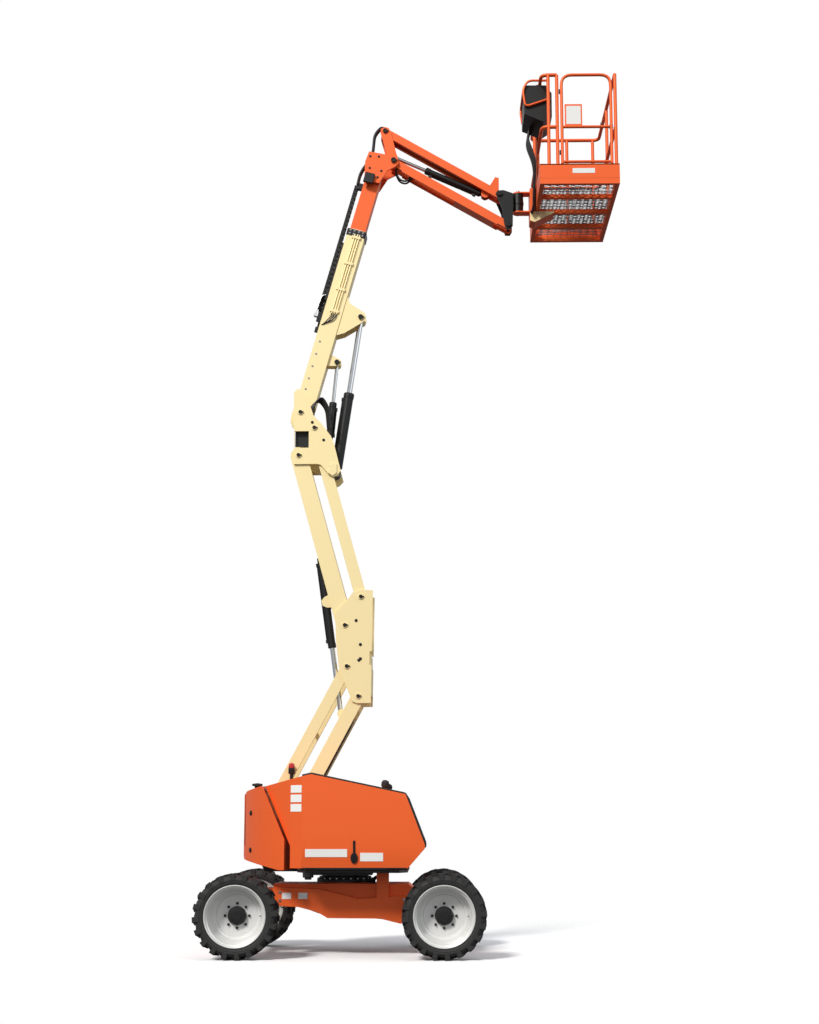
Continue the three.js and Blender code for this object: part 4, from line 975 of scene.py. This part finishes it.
# ------------------------------------------------------------------ tower
@dataclass
class Tower:
    """Pin caps, hoses, doublers and bolts of the folding tower, and painted shade behind the upright's windows."""

    copier: Copier
    plate_y: float = 0.2485
    boss_height: float = 0.0075
    pin_radius: float = 0.019
    hose_radius: float = 0.010

    def build(self) -> None:
        """Makes the pieces of all the tower's bodies."""
        self.lower = between("tower_lift", "mid_upright_level")
        self.upper = between("upper_arm_lift", "upper_upright_level")
        self._caps("turntable", [pin_of("tower_lift"), pin_of("tower_link")])
        link_top = pin_of("mid_upright_level") + pin_of("tower_link") - pin_of("tower_lift")
        self._caps("mid_upright", [pin_of("mid_upright_level"), link_top, pin_of("upper_arm_lift"),
                                   pin_of("upper_link_lift")])
        link_end = pin_of("upper_upright_level") + pin_of("upper_link_lift") - pin_of("upper_arm_lift")
        self._caps("upper_upright", [pin_of("upper_upright_level"), link_end, pin_of("boom_lift")])
        self._plate_bolts()
        self._hoses()
        self._doublers()

    def _caps(self, body: str, pins: Sequence[Vector]) -> None:
        places = on_both_sides(pins, self.plate_y + self.boss_height)
        self.copier.scatter(f"{body}_pin_caps", pin_cap_item(self.pin_radius), places, Palette.BLACK, body)

    def _plate_bolts(self) -> None:
        mid_spots = ((0.115, 0.047), (0.16, -0.20), (0.145, -0.36), (0.16, -0.345))
        top_spots = ((0.26, 0.16), (0.14, 0.35), (0.335, -0.125), (0.345, -0.16))
        for body, joint, radius, spots in (("mid_upright", "upper_arm_lift", 0.013, mid_spots),
                                           ("upper_upright", "upper_upright_level", 0.012, top_spots)):
            places = on_both_sides([pin_of(joint) + Vector((x, 0, z)) for x, z in spots], self.plate_y)
            self.copier.scatter(f"{body}_bolts", bolt_item(radius), places, Palette.BLACK, body)

    def _hoses(self) -> None:
        lower_run = ((0.06, 0.02), (0.24, -0.045), (1.62, -0.045), (1.78, 0.01))
        upper_run = ((0.08, 0.0), (0.24, 0.055), (1.60, 0.055), (1.76, 0.0))
        for body, arm, run in (("lower_arm", self.lower, lower_run), ("upper_arm", self.upper, upper_run)):
            solid = Solid()
            for i in range(3):
                y = 0.178 - i * 0.024
                solid.pipe([arm.at(along, across, y) for along, across in run], self.hose_radius, 0.1, 8)
            solid.piece(f"{body}_hoses", Palette.HOSE, body)
        loops = Solid()
        foot = pin_of("mid_upright_level")
        for i in range(3):
            y = -0.150 + i * 0.026
            loops.pipe([(foot.x + 0.10, y, foot.z + 0.30), (foot.x + 0.02, y, foot.z + 0.16 - 0.01 * i),
                        (foot.x + 0.01, y, foot.z + 0.085), (foot.x + 0.09, y, foot.z + 0.06)],
                       0.011, 0.06, 8)
        loops.piece("knuckle_hoses", Palette.HOSE, "mid_upright")
        heel = Solid()
        top = pin_of("boom_lift")
        for i in range(4):
            y = -0.128 - i * 0.022
            x = top.x + 0.10 + 0.012 * i
            heel.pipe([(x + 0.06, y, top.z - 0.30), (x - 0.01, y, top.z - 0.14), (x, y, top.z + 0.10),
                       (x + 0.08, y, top.z + 0.16 + 0.01 * i), (x + 0.16, y, top.z + 0.06),
                       (x + 0.18, y, top.z - 0.16)], 0.0105, 0.08, 8)
        heel.piece("heel_hoses", Palette.HOSE, "upper_upright")

    def _doublers(self) -> None:
        # The black sheets just inside the plates are painted shade: they stand for the shaded hollow seen through
        # the upright's windows.
        dark = Solid()
        doubler = Solid()
        top = Place(pin_of("upper_upright_level"), 0.0)
        outline = [(0.30, -0.19), (0.36, -0.225), (0.40, -0.19), (0.40, -0.10), (0.34, -0.08)]
        for side in SIDES:
            top.box(dark, (-0.040, 0.12), (0.10, 0.27), sorted((side * 0.190, side * 0.196)))
            doubler.prism(outline, *sorted((side * self.plate_y, side * (self.plate_y + 0.012))), top)
        dark.piece("upright_window_backs", Palette.BLACK, "upper_upright")
        doubler.piece("upright_doublers", Palette.CREAM, "upper_upright", 0.003)


# ------------------------------------------------------------------ cylinders
@dataclass
class Cylinder:
    """A hydraulic cylinder's gland, ports and transfer tube."""

    name: str
    barrel_radius: float
    mouth: float
    tail: float
    copier: Copier
    tube_side: float = 1.0

    def build(self) -> None:
        """Makes the pieces that ride on the barrel."""
        swing = f"{self.name}_swing"
        place = along_slide(swing, f"{self.name}_stroke")
        axis = place.at(1.0) - place.at(0.0)
        body = JOINTS[swing]["child"]
        gland = Solid()
        start = place.at(self.mouth - 0.05)
        r = self.barrel_radius
        gland.lathe([(r - 0.004, 0), (r + 0.004, 0.002), (r + 0.004, 0.046), (r, 0.052), (r * 0.7, 0.054),
                     (r * 0.7, 0.04), (r - 0.004, 0.04)], start, axis, 28)
        gland.piece(f"{self.name}_gland", Palette.BLACK, body)
        inner, outer = self.tail + 0.06, self.mouth - 0.07
        sunk, clear = self.tube_side * r * 0.8, self.tube_side * (r + 0.0065)
        tube = Solid()
        bends = ((inner, sunk), (inner, clear), (outer, clear), (outer, sunk))
        tube.pipe([place.at(*bend) for bend in bends], 0.007, 0.012, 8)
        tube.piece(f"{self.name}_transfer_tube", Palette.BLACK, body)
        blocks = Solid()
        root, crest = self.tube_side * (r - 0.006), self.tube_side * (r + 0.018)
        for along in (inner, outer):
            place.box(blocks, (along - 0.018, along + 0.018), (root, crest), (-0.014, 0.014))
        blocks.piece(f"{self.name}_ports", Palette.BLACK, body, 0.002)


# ------------------------------------------------------------------ main boom
@dataclass
class MainBoom:
    """Collar, tubes, chain, brackets and hoses of the telescoping boom."""

    copier: Copier
    half_width: float = 0.085
    half_depth: float = 0.098
    length: float = 2.14
    link_pitch: float = 0.052

    def build(self) -> None:
        """Makes the pieces of the base and fly sections."""
        self.place = along_slide("boom_lift", "telescope")
        self._collar()
        self._tubes()
        self._chain()
        self._fittings()
        self._fly()

    def _collar(self) -> None:
        solid = Solid()
        place = self.place
        w, d = self.half_width + 0.006, self.half_depth + 0.006
        for across in ((-d, -d + 0.012), (d - 0.012, d)):
            place.box(solid, (self.length - 0.075, self.length - 0.004), across, (-w, w))
        for y in ((-w, -w + 0.012), (w - 0.012, w)):
            place.box(solid, (self.length - 0.075, self.length - 0.004), (-d, d), y)
        solid.piece("boom_collar", Palette.BLACK, "boom", 0.002)
        pads = Solid()
        for y in ((-self.half_width + 0.002, -0.071), (0.071, self.half_width - 0.002)):
            place.box(pads, (self.length - 0.05, self.length + 0.004), (-0.06, 0.06), y)
        pads.piece("boom_wear_pads", Palette.LABEL, "boom", 0.001)
        spots = [place.at(self.length - back, across) for back in (0.055, 0.022)
                 for across in (-0.07, -0.025, 0.025, 0.07)]
        self.copier.scatter("boom_collar_bolts", bolt_item(0.008, 0.007), on_both_sides(spots, w - 0.0005),
                            Palette.STEEL, "boom")

    def _tubes(self) -> None:
        place = self.place
        tray = Solid()
        place.box(tray, (1.19, 2.07), (-0.062, 0.032), (-0.0895, -0.0853))
        tray.piece("hose_tray", Palette.CREAM, "boom", 0.001)
        rows = (-0.044, -0.018, 0.008)
        y = -0.0965
        tubes = Solid()
        for across in rows:
            tubes.rod(place.at(1.17, across, y), place.at(2.085, across, y), 0.0062, 10)
        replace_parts(tubes.piece("hose_tubes", Palette.CREAM, "boom"), "hose_carrier")
        clamps = Solid()
        for along in (1.20, 1.45, 1.75, 2.05):
            place.box(clamps, (along - 0.014, along + 0.014), (-0.062, 0.034), (-0.1035, -0.085))
        clamps.piece("hose_clamps", Palette.CREAM, "boom", 0.002)
        ends = Solid()
        for i, across in enumerate(rows):
            ends.pipe([place.at(1.18, across, y), place.at(1.13, across, y - 0.0015),
                       place.at(1.07 - 0.02 * i, across + 0.05, -0.1),
                       place.at(1.04 - 0.02 * i, 0.115, -0.05)], 0.0055, 0.04, 8)
        ends.piece("hose_tails", Palette.HOSE, "boom")

    def _chain(self) -> None:
        low, high = 0.1345, 0.1725
        link = Solid()
        outline = [(0.0, low), (self.link_pitch - 0.006, low), (self.link_pitch - 0.002, low + 0.006),
                   (self.link_pitch - 0.002, high - 0.006), (self.link_pitch - 0.006, high), (0.0, high),
                   (0.004, high - 0.008), (0.004, low + 0.008)]
        for side in SIDES:
            link.prism(outline, *sorted((side * 0.028, side * 0.038)))
        link.prism([(0.012, low + 0.002), (0.036, low + 0.002), (0.036, high - 0.002), (0.012, high - 0.002)],
                   -0.029, 0.029)
        count = int(1.50 / self.link_pitch)
        start = Matrix.Translation(self.place.at(1.19)) @ Matrix.Rotation(-self.place.angle, 4, "Y")
        links = self.copier.series("hose_chain_links", link.piece("link", Palette.PLASTIC, None), count,
                                   Palette.PLASTIC, "fly", step=(self.link_pitch, 0, 0), start=start)
        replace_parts(links, "hose_track")
        arm = Solid()
        self.place.box(arm, (2.615, 2.685), (0.0823, 0.1345), (-0.024, 0.024))
        arm.piece("hose_chain_arm", Palette.BLACK, "fly", 0.002)
        hoses = Solid()
        loop = [(-0.470, 8.455), (-0.448, 8.700), (-0.378, 8.783), (-0.324, 8.762), (-0.262, 8.700)]
        for y in (-0.019, 0.019):
            path = [self.place.at(2.66, 0.150, y), self.place.at(2.80, 0.160, y)]
            hoses.pipe(path + [Vector((x, y, z)) for x, z in loop], 0.015, 0.08, 10)
        hoses.piece("nose_hoses", Palette.HOSE, "fly")

    def _fittings(self) -> None:
        place = self.place
        block = Solid()
        place.box(block, (1.05, 1.16), (0.0985, 0.150), (-0.078, -0.044))
        place.box(block, (0.93, 0.99), (0.0985, 0.135), (-0.078, -0.050))
        place.box(block, (1.30, 1.40), (0.0985, 0.128), (-0.080, -0.046))
        block.piece("boom_valve_blocks", Palette.BLACK, "boom", 0.003)
        pipes = Solid()
        for i in range(3):
            y = -0.072 + 0.012 * i
            lift = 0.01 * i
            run = ((1.10, 0.150), (1.10, 0.170 + lift), (1.20, 0.175 + lift), (1.34, 0.165), (1.36, 0.12))
            pipes.pipe([place.at(along, across, y) for along, across in run], 0.006, 0.04, 8)
        pipes.piece("boom_valve_pipes", Palette.STEEL, "boom")
        bolts = on_both_sides([place.at(along, 0.045) for along in (0.30, 0.42, 0.56, 0.70, 0.84)], 0.0852)
        self.copier.scatter("boom_side_bolts", bolt_item(0.009, 0.007), bolts, Palette.STEEL, "boom")
        caps = on_both_sides([place.at(1.216, -0.298)], 0.087)
        caps += on_both_sides([place.at(0.675, -0.190)], 0.065)
        self.copier.scatter("boom_cylinder_caps", pin_cap_item(0.026), caps, Palette.BLACK, "boom")

    def _fly(self) -> None:
        spots = ((2.76, -0.05), (2.76, 0.05), (2.84, -0.07), (2.84, 0.06), (2.97, 0.09), (2.99, 0.0))
        places = on_both_sides([self.place.at(*spot) for spot in spots], 0.1155)
        self.copier.scatter("nose_bolts", bolt_item(0.010, 0.008), places, Palette.BLACK, "fly")
        caps = on_both_sides([pin_of("jib_bracket_level")], 0.1235)
        self.copier.scatter("nose_pin_caps", pin_cap_item(0.028), caps, Palette.BLACK, "fly")
        valve = Solid()
        self.place.box(valve, (2.665, 2.775), (-0.02, 0.085), (-0.150, -0.1155))
        valve.piece("nose_valve", Palette.BLACK, "fly", 0.004)


# ------------------------------------------------------------------ jib
@dataclass
class Jib:
    """Pin caps and hoses of the parallel jib."""

    copier: Copier
    cap_y: float = 0.1025

    def build(self) -> None:
        """Makes the pieces of the jib's bodies."""
        upper = between("jib_lift", "jib_head_level")
        foot = pin_of("jib_head_level") + pin_of("jib_lower_swing") - pin_of("jib_lift")
        pins = {"jib_bracket": [pin_of("jib_lift")], "jib_head": [pin_of("jib_head_level"), foot]}
        for body, points in pins.items():
            places = on_both_sides(points, self.cap_y)
            self.copier.scatter(f"{body}_pin_caps", pin_cap_item(0.024), places, Palette.BLACK, body)
        hoses = Solid()
        for i in range(3):
            y = -0.024 + i * 0.022
            hoses.pipe([upper.at(along, 0.015, y) for along in (0.08, 0.30, 1.15)], 0.009, 0.06, 8)
        hoses.piece("jib_hoses", Palette.HOSE, "jib_upper_arm")
        sag = Solid()
        loop = [(-0.205, 8.350), (-0.222, 8.270), (-0.175, 8.170), (-0.095, 8.150), (-0.035, 8.240),
                (0.010, 8.225)]
        for y in (-0.030, 0.030):
            sag.pipe([Vector((a, y, z)) for a, z in loop], 0.010, 0.06, 10)
        sag.piece("jib_hose_sag", Palette.HOSE, "jib_lower_arm")


# ------------------------------------------------------------------ platform
@dataclass
class Platform:
    """Floor lattice, toe boards, rails, console and rotator dressing."""

    copier: Copier
    toe_thickness: float = 0.004
    frame_width: float = 0.045
    frame_height: float = 0.062
    strand_pitch: float = 0.034
    strand_slope: float = 0.42
    row_pitch: float = 0.075
    rail_radius: float = 0.019
    gate_radius: float = 0.016
    middle_rail: float = 0.632

    def build(self) -> None:
        """Makes the pieces of the platform and its gate."""
        self.low, self.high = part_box("platform_floor")
        self._floor()
        self._toe_boards()
        self._console()
        self._rotator()
        self._rails()
        self._gate()

    def _floor(self) -> None:
        low, high = self.low, self.high
        wide = self.frame_width
        top = low.z + self.frame_height
        bars = Solid()
        for y in (low.y, high.y - wide):
            bars.box((low.x, y, low.z), (high.x, y + wide, top))
        for x in (low.x, high.x - wide):
            bars.box((x, low.y + wide, low.z), (x + wide, high.y - wide, top))
        for y in (-0.38, 0.0, 0.38):
            bars.box((low.x + wide, y - 0.02, low.z + 0.004), (high.x - wide, y + 0.02, top - 0.012))
        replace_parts(bars.piece("platform_frame", Palette.ORANGE, "platform"), "platform_floor")
        strands = []
        for hand in SIDES:
            strand = Solid()
            run = high.x - low.x - 2 * wide
            strand.prism([(0.0, 0.0), (run, 0.0), (run, 0.006), (0.0, 0.006)], -0.0018, 0.0018)
            slant = Matrix.Identity(4)
            slant[1][0] = hand * self.strand_slope
            item = strand.piece("strand", Palette.GREY, None)
            item.data.transform(slant)
            drop = self.strand_slope * run
            first = low.y + self.frame_width + (0.0 if hand > 0 else drop)
            count = int((high.y - low.y - 2 * self.frame_width - drop) / self.strand_pitch) + 1
            start = Matrix.Translation((low.x + self.frame_width, first, top - 0.008))
            strands.append(self.copier.series("lattice", item, count, Palette.GREY, None,
                                              step=(0, self.strand_pitch, 0), start=start))
        strands.append(self._corner_strands(top))
        merged("platform_lattice", strands, Palette.GREY, "platform")

    def _corner_strands(self, top: float) -> bpy.types.Object:
        solid = Solid()
        half = 0.0016
        x0, x1 = self.low.x + self.frame_width, self.high.x - self.frame_width
        y0, y1 = self.low.y + self.frame_width, self.high.y - self.frame_width
        for i in range(int((y1 - y0) / self.row_pitch)):
            y = y0 + (i + 0.5) * self.row_pitch
            solid.box((x0, y - half, top - 0.010), (x1, y + half, top - 0.003))
        for i in range(1, 10):
            x = x0 + (x1 - x0) * i / 10
            solid.box((x - half, y0, top - 0.010), (x + half, y1, top - 0.003))
        return solid.piece("lattice_rows", Palette.GREY, None)

    def _toe_boards(self) -> None:
        low, high = self.low, self.high
        t = self.toe_thickness
        z0, z1 = low.z + self.frame_height, high.z
        boards = Solid()
        for y in (low.y, high.y - t):
            boards.box((low.x, y, z0 - 0.002), (high.x, y + t, z1))
            boards.box((low.x, y, z1 - 0.012), (high.x, y + t, z1 - 0.002))
        for x in (low.x, high.x - t):
            boards.box((x, low.y + t, z0 - 0.002), (x + t, high.y - t, z1))
        boards.piece("toe_boards", Palette.ORANGE, "platform")
        plate = Solid()
        x = (low.x + high.x) / 2
        plate.box((x - 0.075, low.y - 0.0018, z0 + 0.052), (x + 0.155, low.y + 0.0002, z1 - 0.050))
        plate.piece("toe_board_plate", Palette.LABEL, "platform")

    def _rails(self) -> None:
        low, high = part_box("platform_rails")
        x0, x1 = low.x + self.rail_radius, high.x - self.rail_radius
        y = high.y - self.rail_radius
        post = x0 + 0.160
        top = high.z - self.rail_radius
        middle = self.low.z + self.middle_rail
        solid = Solid()
        for z in (top, middle):
            corners = [(post, -y, z), (x0, -y, z), (x0, y, z), (x1, y, z), (x1, -y, z)]
            solid.pipe(corners, self.rail_radius, 0.07, 14)
        feet = [(x0 + 0.07, -y), (post, -y), (x1, -y), (x1, 0.0), (x1 - 0.07, y), (x0 + 0.40, y),
                (x0 + 0.07, y), (x0, 0.3), (x0, -0.15)]
        base = self.low.z + 0.0625
        for px, py in feet:
            solid.rod((px, py, base), (px, py, top), self.rail_radius - 0.001, 14)
        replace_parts(solid.piece("guard_rails", Palette.ORANGE, "platform"), "platform_rails")
        anchors = Solid()
        for px, py in ((x0 + 0.30, y - 0.03), (x1 - 0.03, 0.25)):
            anchors.lathe([(0.014, -0.005), (0.024, -0.005), (0.024, 0.005), (0.014, 0.005)],
                          (px, py, top - 0.05), (1, 0, 0), 20)
        anchors.piece("lanyard_anchors", Palette.STEEL, "platform")

    def _gate(self) -> None:
        low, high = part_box("platform_gate")
        r = self.gate_radius
        y = (low.y + high.y) / 2
        x0, x1 = low.x + 0.0215 + r * 0.4, high.x - r
        z0, z1 = low.z + r, high.z - r
        hoop = Solid()
        hoop.pipe([(x0, y, low.z), (x0, y, z1), (x1, y, z1), (x1, y, low.z)], r, 0.11, 14)
        middle = self.low.z + self.middle_rail
        for z in (middle, z0 + 0.002):
            hoop.pipe([(x0, y, z), (x1, y, z)], r - 0.001, 0.01, 14)
        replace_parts(hoop.piece("gate_hoop", Palette.ORANGE, "platform_gate"), "platform_gate")
        panel = Solid()
        panel.box((x0 + 0.03, y - 0.003, middle + 0.01), (x0 + 0.21, y + 0.001, middle + 0.25))
        panel.piece("document_panel", Palette.ORANGE, "platform_gate", 0.001)
        sheet = Solid()
        sheet.box((x0 + 0.045, y - 0.0045, middle + 0.03), (x0 + 0.195, y - 0.0025, middle + 0.23))
        sheet.piece("document_sheet", Palette.LABEL, "platform_gate")
        hinges = Solid()
        for z in (low.z + 0.12, high.z - 0.20):
            hinges.box((low.x, y - 0.008, z - 0.024), (x0, y + 0.008, z + 0.024))
        hinges.box((x1 - 0.02, y - 0.012, middle - 0.02), (x1 + r, y + 0.012, middle + 0.02))
        hinges.piece("gate_hinges", Palette.BLACK, "platform_gate", 0.002)

    def _console(self) -> None:
        low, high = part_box("control_console")
        middle = (low.y + high.y) / 2
        panel = Solid()
        panel.box((low.x + 0.03, low.y + 0.02, high.z - 0.075),
                  (high.x - 0.06, high.y - 0.02, high.z - 0.070))
        panel.piece("console_face", Palette.GREY, "platform", 0.001)
        sticks = Solid()
        for y in (middle - 0.11, middle + 0.11):
            x = (low.x + high.x) / 2
            sticks.lathe([(0, 0), (0.032, 0), (0.026, 0.014), (0.010, 0.022), (0.008, 0.075), (0.018, 0.085),
                          (0.020, 0.115), (0.010, 0.128), (0, 0.130)], (x, y, high.z - 0.095), (0, 0, 1), 20)
        sticks.piece("console_joysticks", Palette.PLASTIC, "platform")
        knob = Solid().lathe([(0, 0), (0.009, 0), (0.008, 0.014), (0, 0.016)], (0, 0, 0), (0, 0, 1), 12)
        knob_item = knob.piece("knob", Palette.PLASTIC, None)
        self.copier.series("console_knobs", knob_item, 7, Palette.LABEL, "platform", step=(0, 0.040, 0),
                           start=Matrix.Translation((low.x + 0.055, low.y + 0.09, high.z - 0.090)))
        stop = Solid().lathe([(0, 0), (0.018, 0), (0.022, 0.012), (0.014, 0.024), (0, 0.026)],
                             (low.x + 0.11, low.y + 0.035, high.z - 0.092), (0, 0, 1), 18)
        stop.piece("console_stop", Palette.RED, "platform")
        guard = Solid()
        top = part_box("platform_rails")[1].z - 0.0125
        for y in (low.y - 0.02, high.y + 0.02):
            guard.pipe([(high.x - 0.02, y, low.z + 0.25), (low.x + 0.01, y, low.z + 0.16),
                        (low.x - 0.015, y, top - 0.10), (low.x + 0.04, y, top), (high.x - 0.02, y, top)],
                       0.012, 0.05, 10)
        guard.pipe([(low.x - 0.010, low.y - 0.02, top - 0.10), (low.x - 0.010, high.y + 0.02, top - 0.10)],
                   0.010, 0.02, 10)
        guard.piece("console_guard", Palette.ORANGE, "platform")
        cables = Solid()
        for i in range(5):
            y = middle + 0.02 + 0.045 * i
            cables.pipe([(low.x + 0.09, y, low.z + 0.09), (low.x + 0.04, y, low.z - 0.06),
                         (self.low.x - 0.016, y, low.z - 0.30), (self.low.x - 0.018, y * 0.7, self.high.z),
                         (self.low.x - 0.020, y * 0.5, self.low.z + 0.05),
                         (self.low.x - 0.040, y * 0.4, self.low.z - 0.03)], 0.0125, 0.10, 8)
        cables.piece("console_cables", Palette.HOSE, "platform")

    def _rotator(self) -> None:
        axis = pin_of("platform_rotate")
        nut = Solid()
        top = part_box("platform_support")[1].z
        nut.rod((axis.x, 0, top - 0.02), (axis.x, 0, top + 0.012), 0.022, 18)
        nut.piece("rotator_top_nut", Palette.STEEL, "platform")
        wedge = Solid()
        corner = Place(Vector((self.low.x, 0, self.low.z)), 0.0)
        outline = [(-0.058, -0.02), (-0.058, -0.106), (-0.010, -0.124), (0.196, -0.022), (0.196, -0.002),
                   (0.0, -0.002)]
        for side in SIDES:
            wedge.prism(outline, *sorted((side * 0.0895, side * 0.0935)), corner)
        wedge.piece("support_cheeks", Palette.CREAM, "platform", 0.001)
        bolt = Solid().lathe([(0, 0), (0.007, 0), (0.007, 0.008), (0, 0.008)], (0.042, 0, 0), (0, 0, 1), 6)
        bolt_head = bolt.piece("bolt", Palette.STEEL, None)
        self.copier.series("rotator_bolts", bolt_head, 8, Palette.STEEL, "platform", turn=(0, 0, math.pi / 4),
                           start=Matrix.Translation((axis.x, 0, axis.z + 0.046)))
        motor = Solid()
        motor.lathe([(0.056, -0.02), (0.060, -0.018), (0.060, 0.018), (0.056, 0.02)],
                    (axis.x, 0, axis.z - 0.07), (0, 0, 1), 32)
        motor.box((axis.x - 0.125, -0.055, axis.z - 0.03), (axis.x - 0.05, 0.055, axis.z + 0.024))
        motor.piece("rotator_band", Palette.BLACK, "jib_head", 0.002)


# ------------------------------------------------------------------ stage
@dataclass
class Studio:
    """Floor, light and camera."""

    camera_at: tuple[float, float, float] = (0.139, -14.965, 1.215)
    camera_tilt: float = 8.416
    camera_yaw: float = 0.796
    lens: float = 51.33
    shift: float = 0.0996
    floor_radius: float = 7.0

    def build(self) -> None:
        """Makes the stage."""
        self._floor()
        self._world()
        self._lights()
        self._camera()

    def _floor(self) -> None:
        solid = Solid()
        ring = [solid.mesh.verts.new((self.floor_radius * math.cos(a), self.floor_radius * math.sin(a), 0.0))
                for a in (2 * math.pi * i / 64 for i in range(64))]
        solid.mesh.faces.new(ring)
        data = bpy.data.meshes.new("floor")
        solid.mesh.to_mesh(data)
        solid.mesh.free()
        floor = add_object("floor", data)
        material = bpy.data.materials.new("floor_white")
        tree = ShaderTree(material)
        split = tree.node("ShaderNodeVectorMath", {"operation": "LENGTH"}, {0: tree.place()})
        away = (tree.out(split, "Value") / self.floor_radius).clamped()
        fade = (away * 2.2 - 0.9).clamped()
        bright = tree.shader("ShaderNodeBsdfDiffuse", {"Color": rgba((0.93, 0.93, 0.94))})
        dull = tree.shader("ShaderNodeBsdfDiffuse", {"Color": rgba((0.16, 0.16, 0.16))})
        matte = tree.shader("ShaderNodeMixShader", {0: tree.seen(), 1: dull, 2: bright})
        clear = tree.shader("ShaderNodeBsdfTransparent", {"Color": rgba((1.0, 1.0, 1.0))})
        tree.surface(tree.shader("ShaderNodeMixShader", {0: fade, 1: matte, 2: clear}))
        data.materials.append(material)

    def _world(self) -> None:
        world = bpy.data.worlds.new("studio")
        tree = ShaderTree(world)
        backdrop = "ShaderNodeBackground"
        white = tree.shader(backdrop, {"Color": rgba((1.0, 1.0, 1.0))})
        above = tree.shader(backdrop, {"Color": rgba((0.94, 0.97, 1.0)), "Strength": 0.62})
        below = tree.shader(backdrop, {"Color": rgba((0.9, 0.9, 1.0)), "Strength": 0.10})
        around = tree.out(tree.node("ShaderNodeTexCoord"), "Generated")
        up = tree.out(tree.node("ShaderNodeSeparateXYZ", None, {0: around}), "Z")
        rise = tree.node("ShaderNodeMapRange", None, {"Value": up, "From Min": -0.25, "From Max": 0.15})
        lit = tree.shader("ShaderNodeMixShader", {0: tree.out(rise, "Result"), 1: below, 2: above})
        shown = tree.shader("ShaderNodeMixShader", {0: tree.seen(), 1: lit, 2: white})
        tree.surface(shown, "ShaderNodeOutputWorld")
        bpy.context.scene.world = world

    def _lights(self) -> None:
        self._sun("key", (-0.6, -1.0, 1.0), 3.0, 12.0, (1.0, 0.97, 0.93))
        self._sun("fill", (0.9, -0.6, 0.5), 0.35, 40.0, (0.92, 0.96, 1.0))

    def _sun(self, name: str, towards: Point, strength: float, softness: float, colour: Point) -> None:
        light = bpy.data.lights.new(name, "SUN")
        light.energy = strength
        light.angle = math.radians(softness)
        light.color = colour
        sun = add_object(name, light)
        sun.rotation_euler = Vector(towards).to_track_quat("Z", "Y").to_euler()

    def _camera(self) -> None:
        data = bpy.data.cameras.new("camera")
        data.lens = self.lens
        data.sensor_width = 36.0
        data.shift_y = self.shift
        data.clip_end = 200.0
        camera = add_object("camera", data)
        camera.location = self.camera_at
        camera.rotation_euler = (math.radians(90 + self.camera_tilt), 0.0, math.radians(self.camera_yaw))
        bpy.context.scene.camera = camera
        bpy.context.scene.view_settings.view_transform = "Standard"


def cylinders(copier: Copier) -> list[Cylinder]:
    """The machine's four large cylinders."""
    return [
        Cylinder("tower_cylinder", 0.038, 0.47, -0.46, copier, -1.0),
        Cylinder("lift_cylinder", 0.052, 0.885, 0.06, copier),
        Cylinder("level_cylinder", 0.036, 0.455, 0.04, copier, -1.0),
        Cylinder("jib_cylinder", 0.034, 0.70, 0.05, copier),
    ]


def main() -> None:
    """Dresses the machine and sets the stage."""
    logging.basicConfig(level=logging.INFO, format="%(message)s")
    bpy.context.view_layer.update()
    CadCoat().apply()
    copier = Copier()
    for end in ("front", "rear"):
        for side, hand in ((NEAR, "left"), (FAR, "right")):
            Wheel(f"wheel_{end}_{hand}", side, copier).build()
    for assembly in (Chassis(copier), Turntable(copier), Tower(copier), *cylinders(copier), MainBoom(copier),
                     Jib(copier), Platform(copier), Studio()):
        assembly.build()


if __name__ == "__main__":
    main()
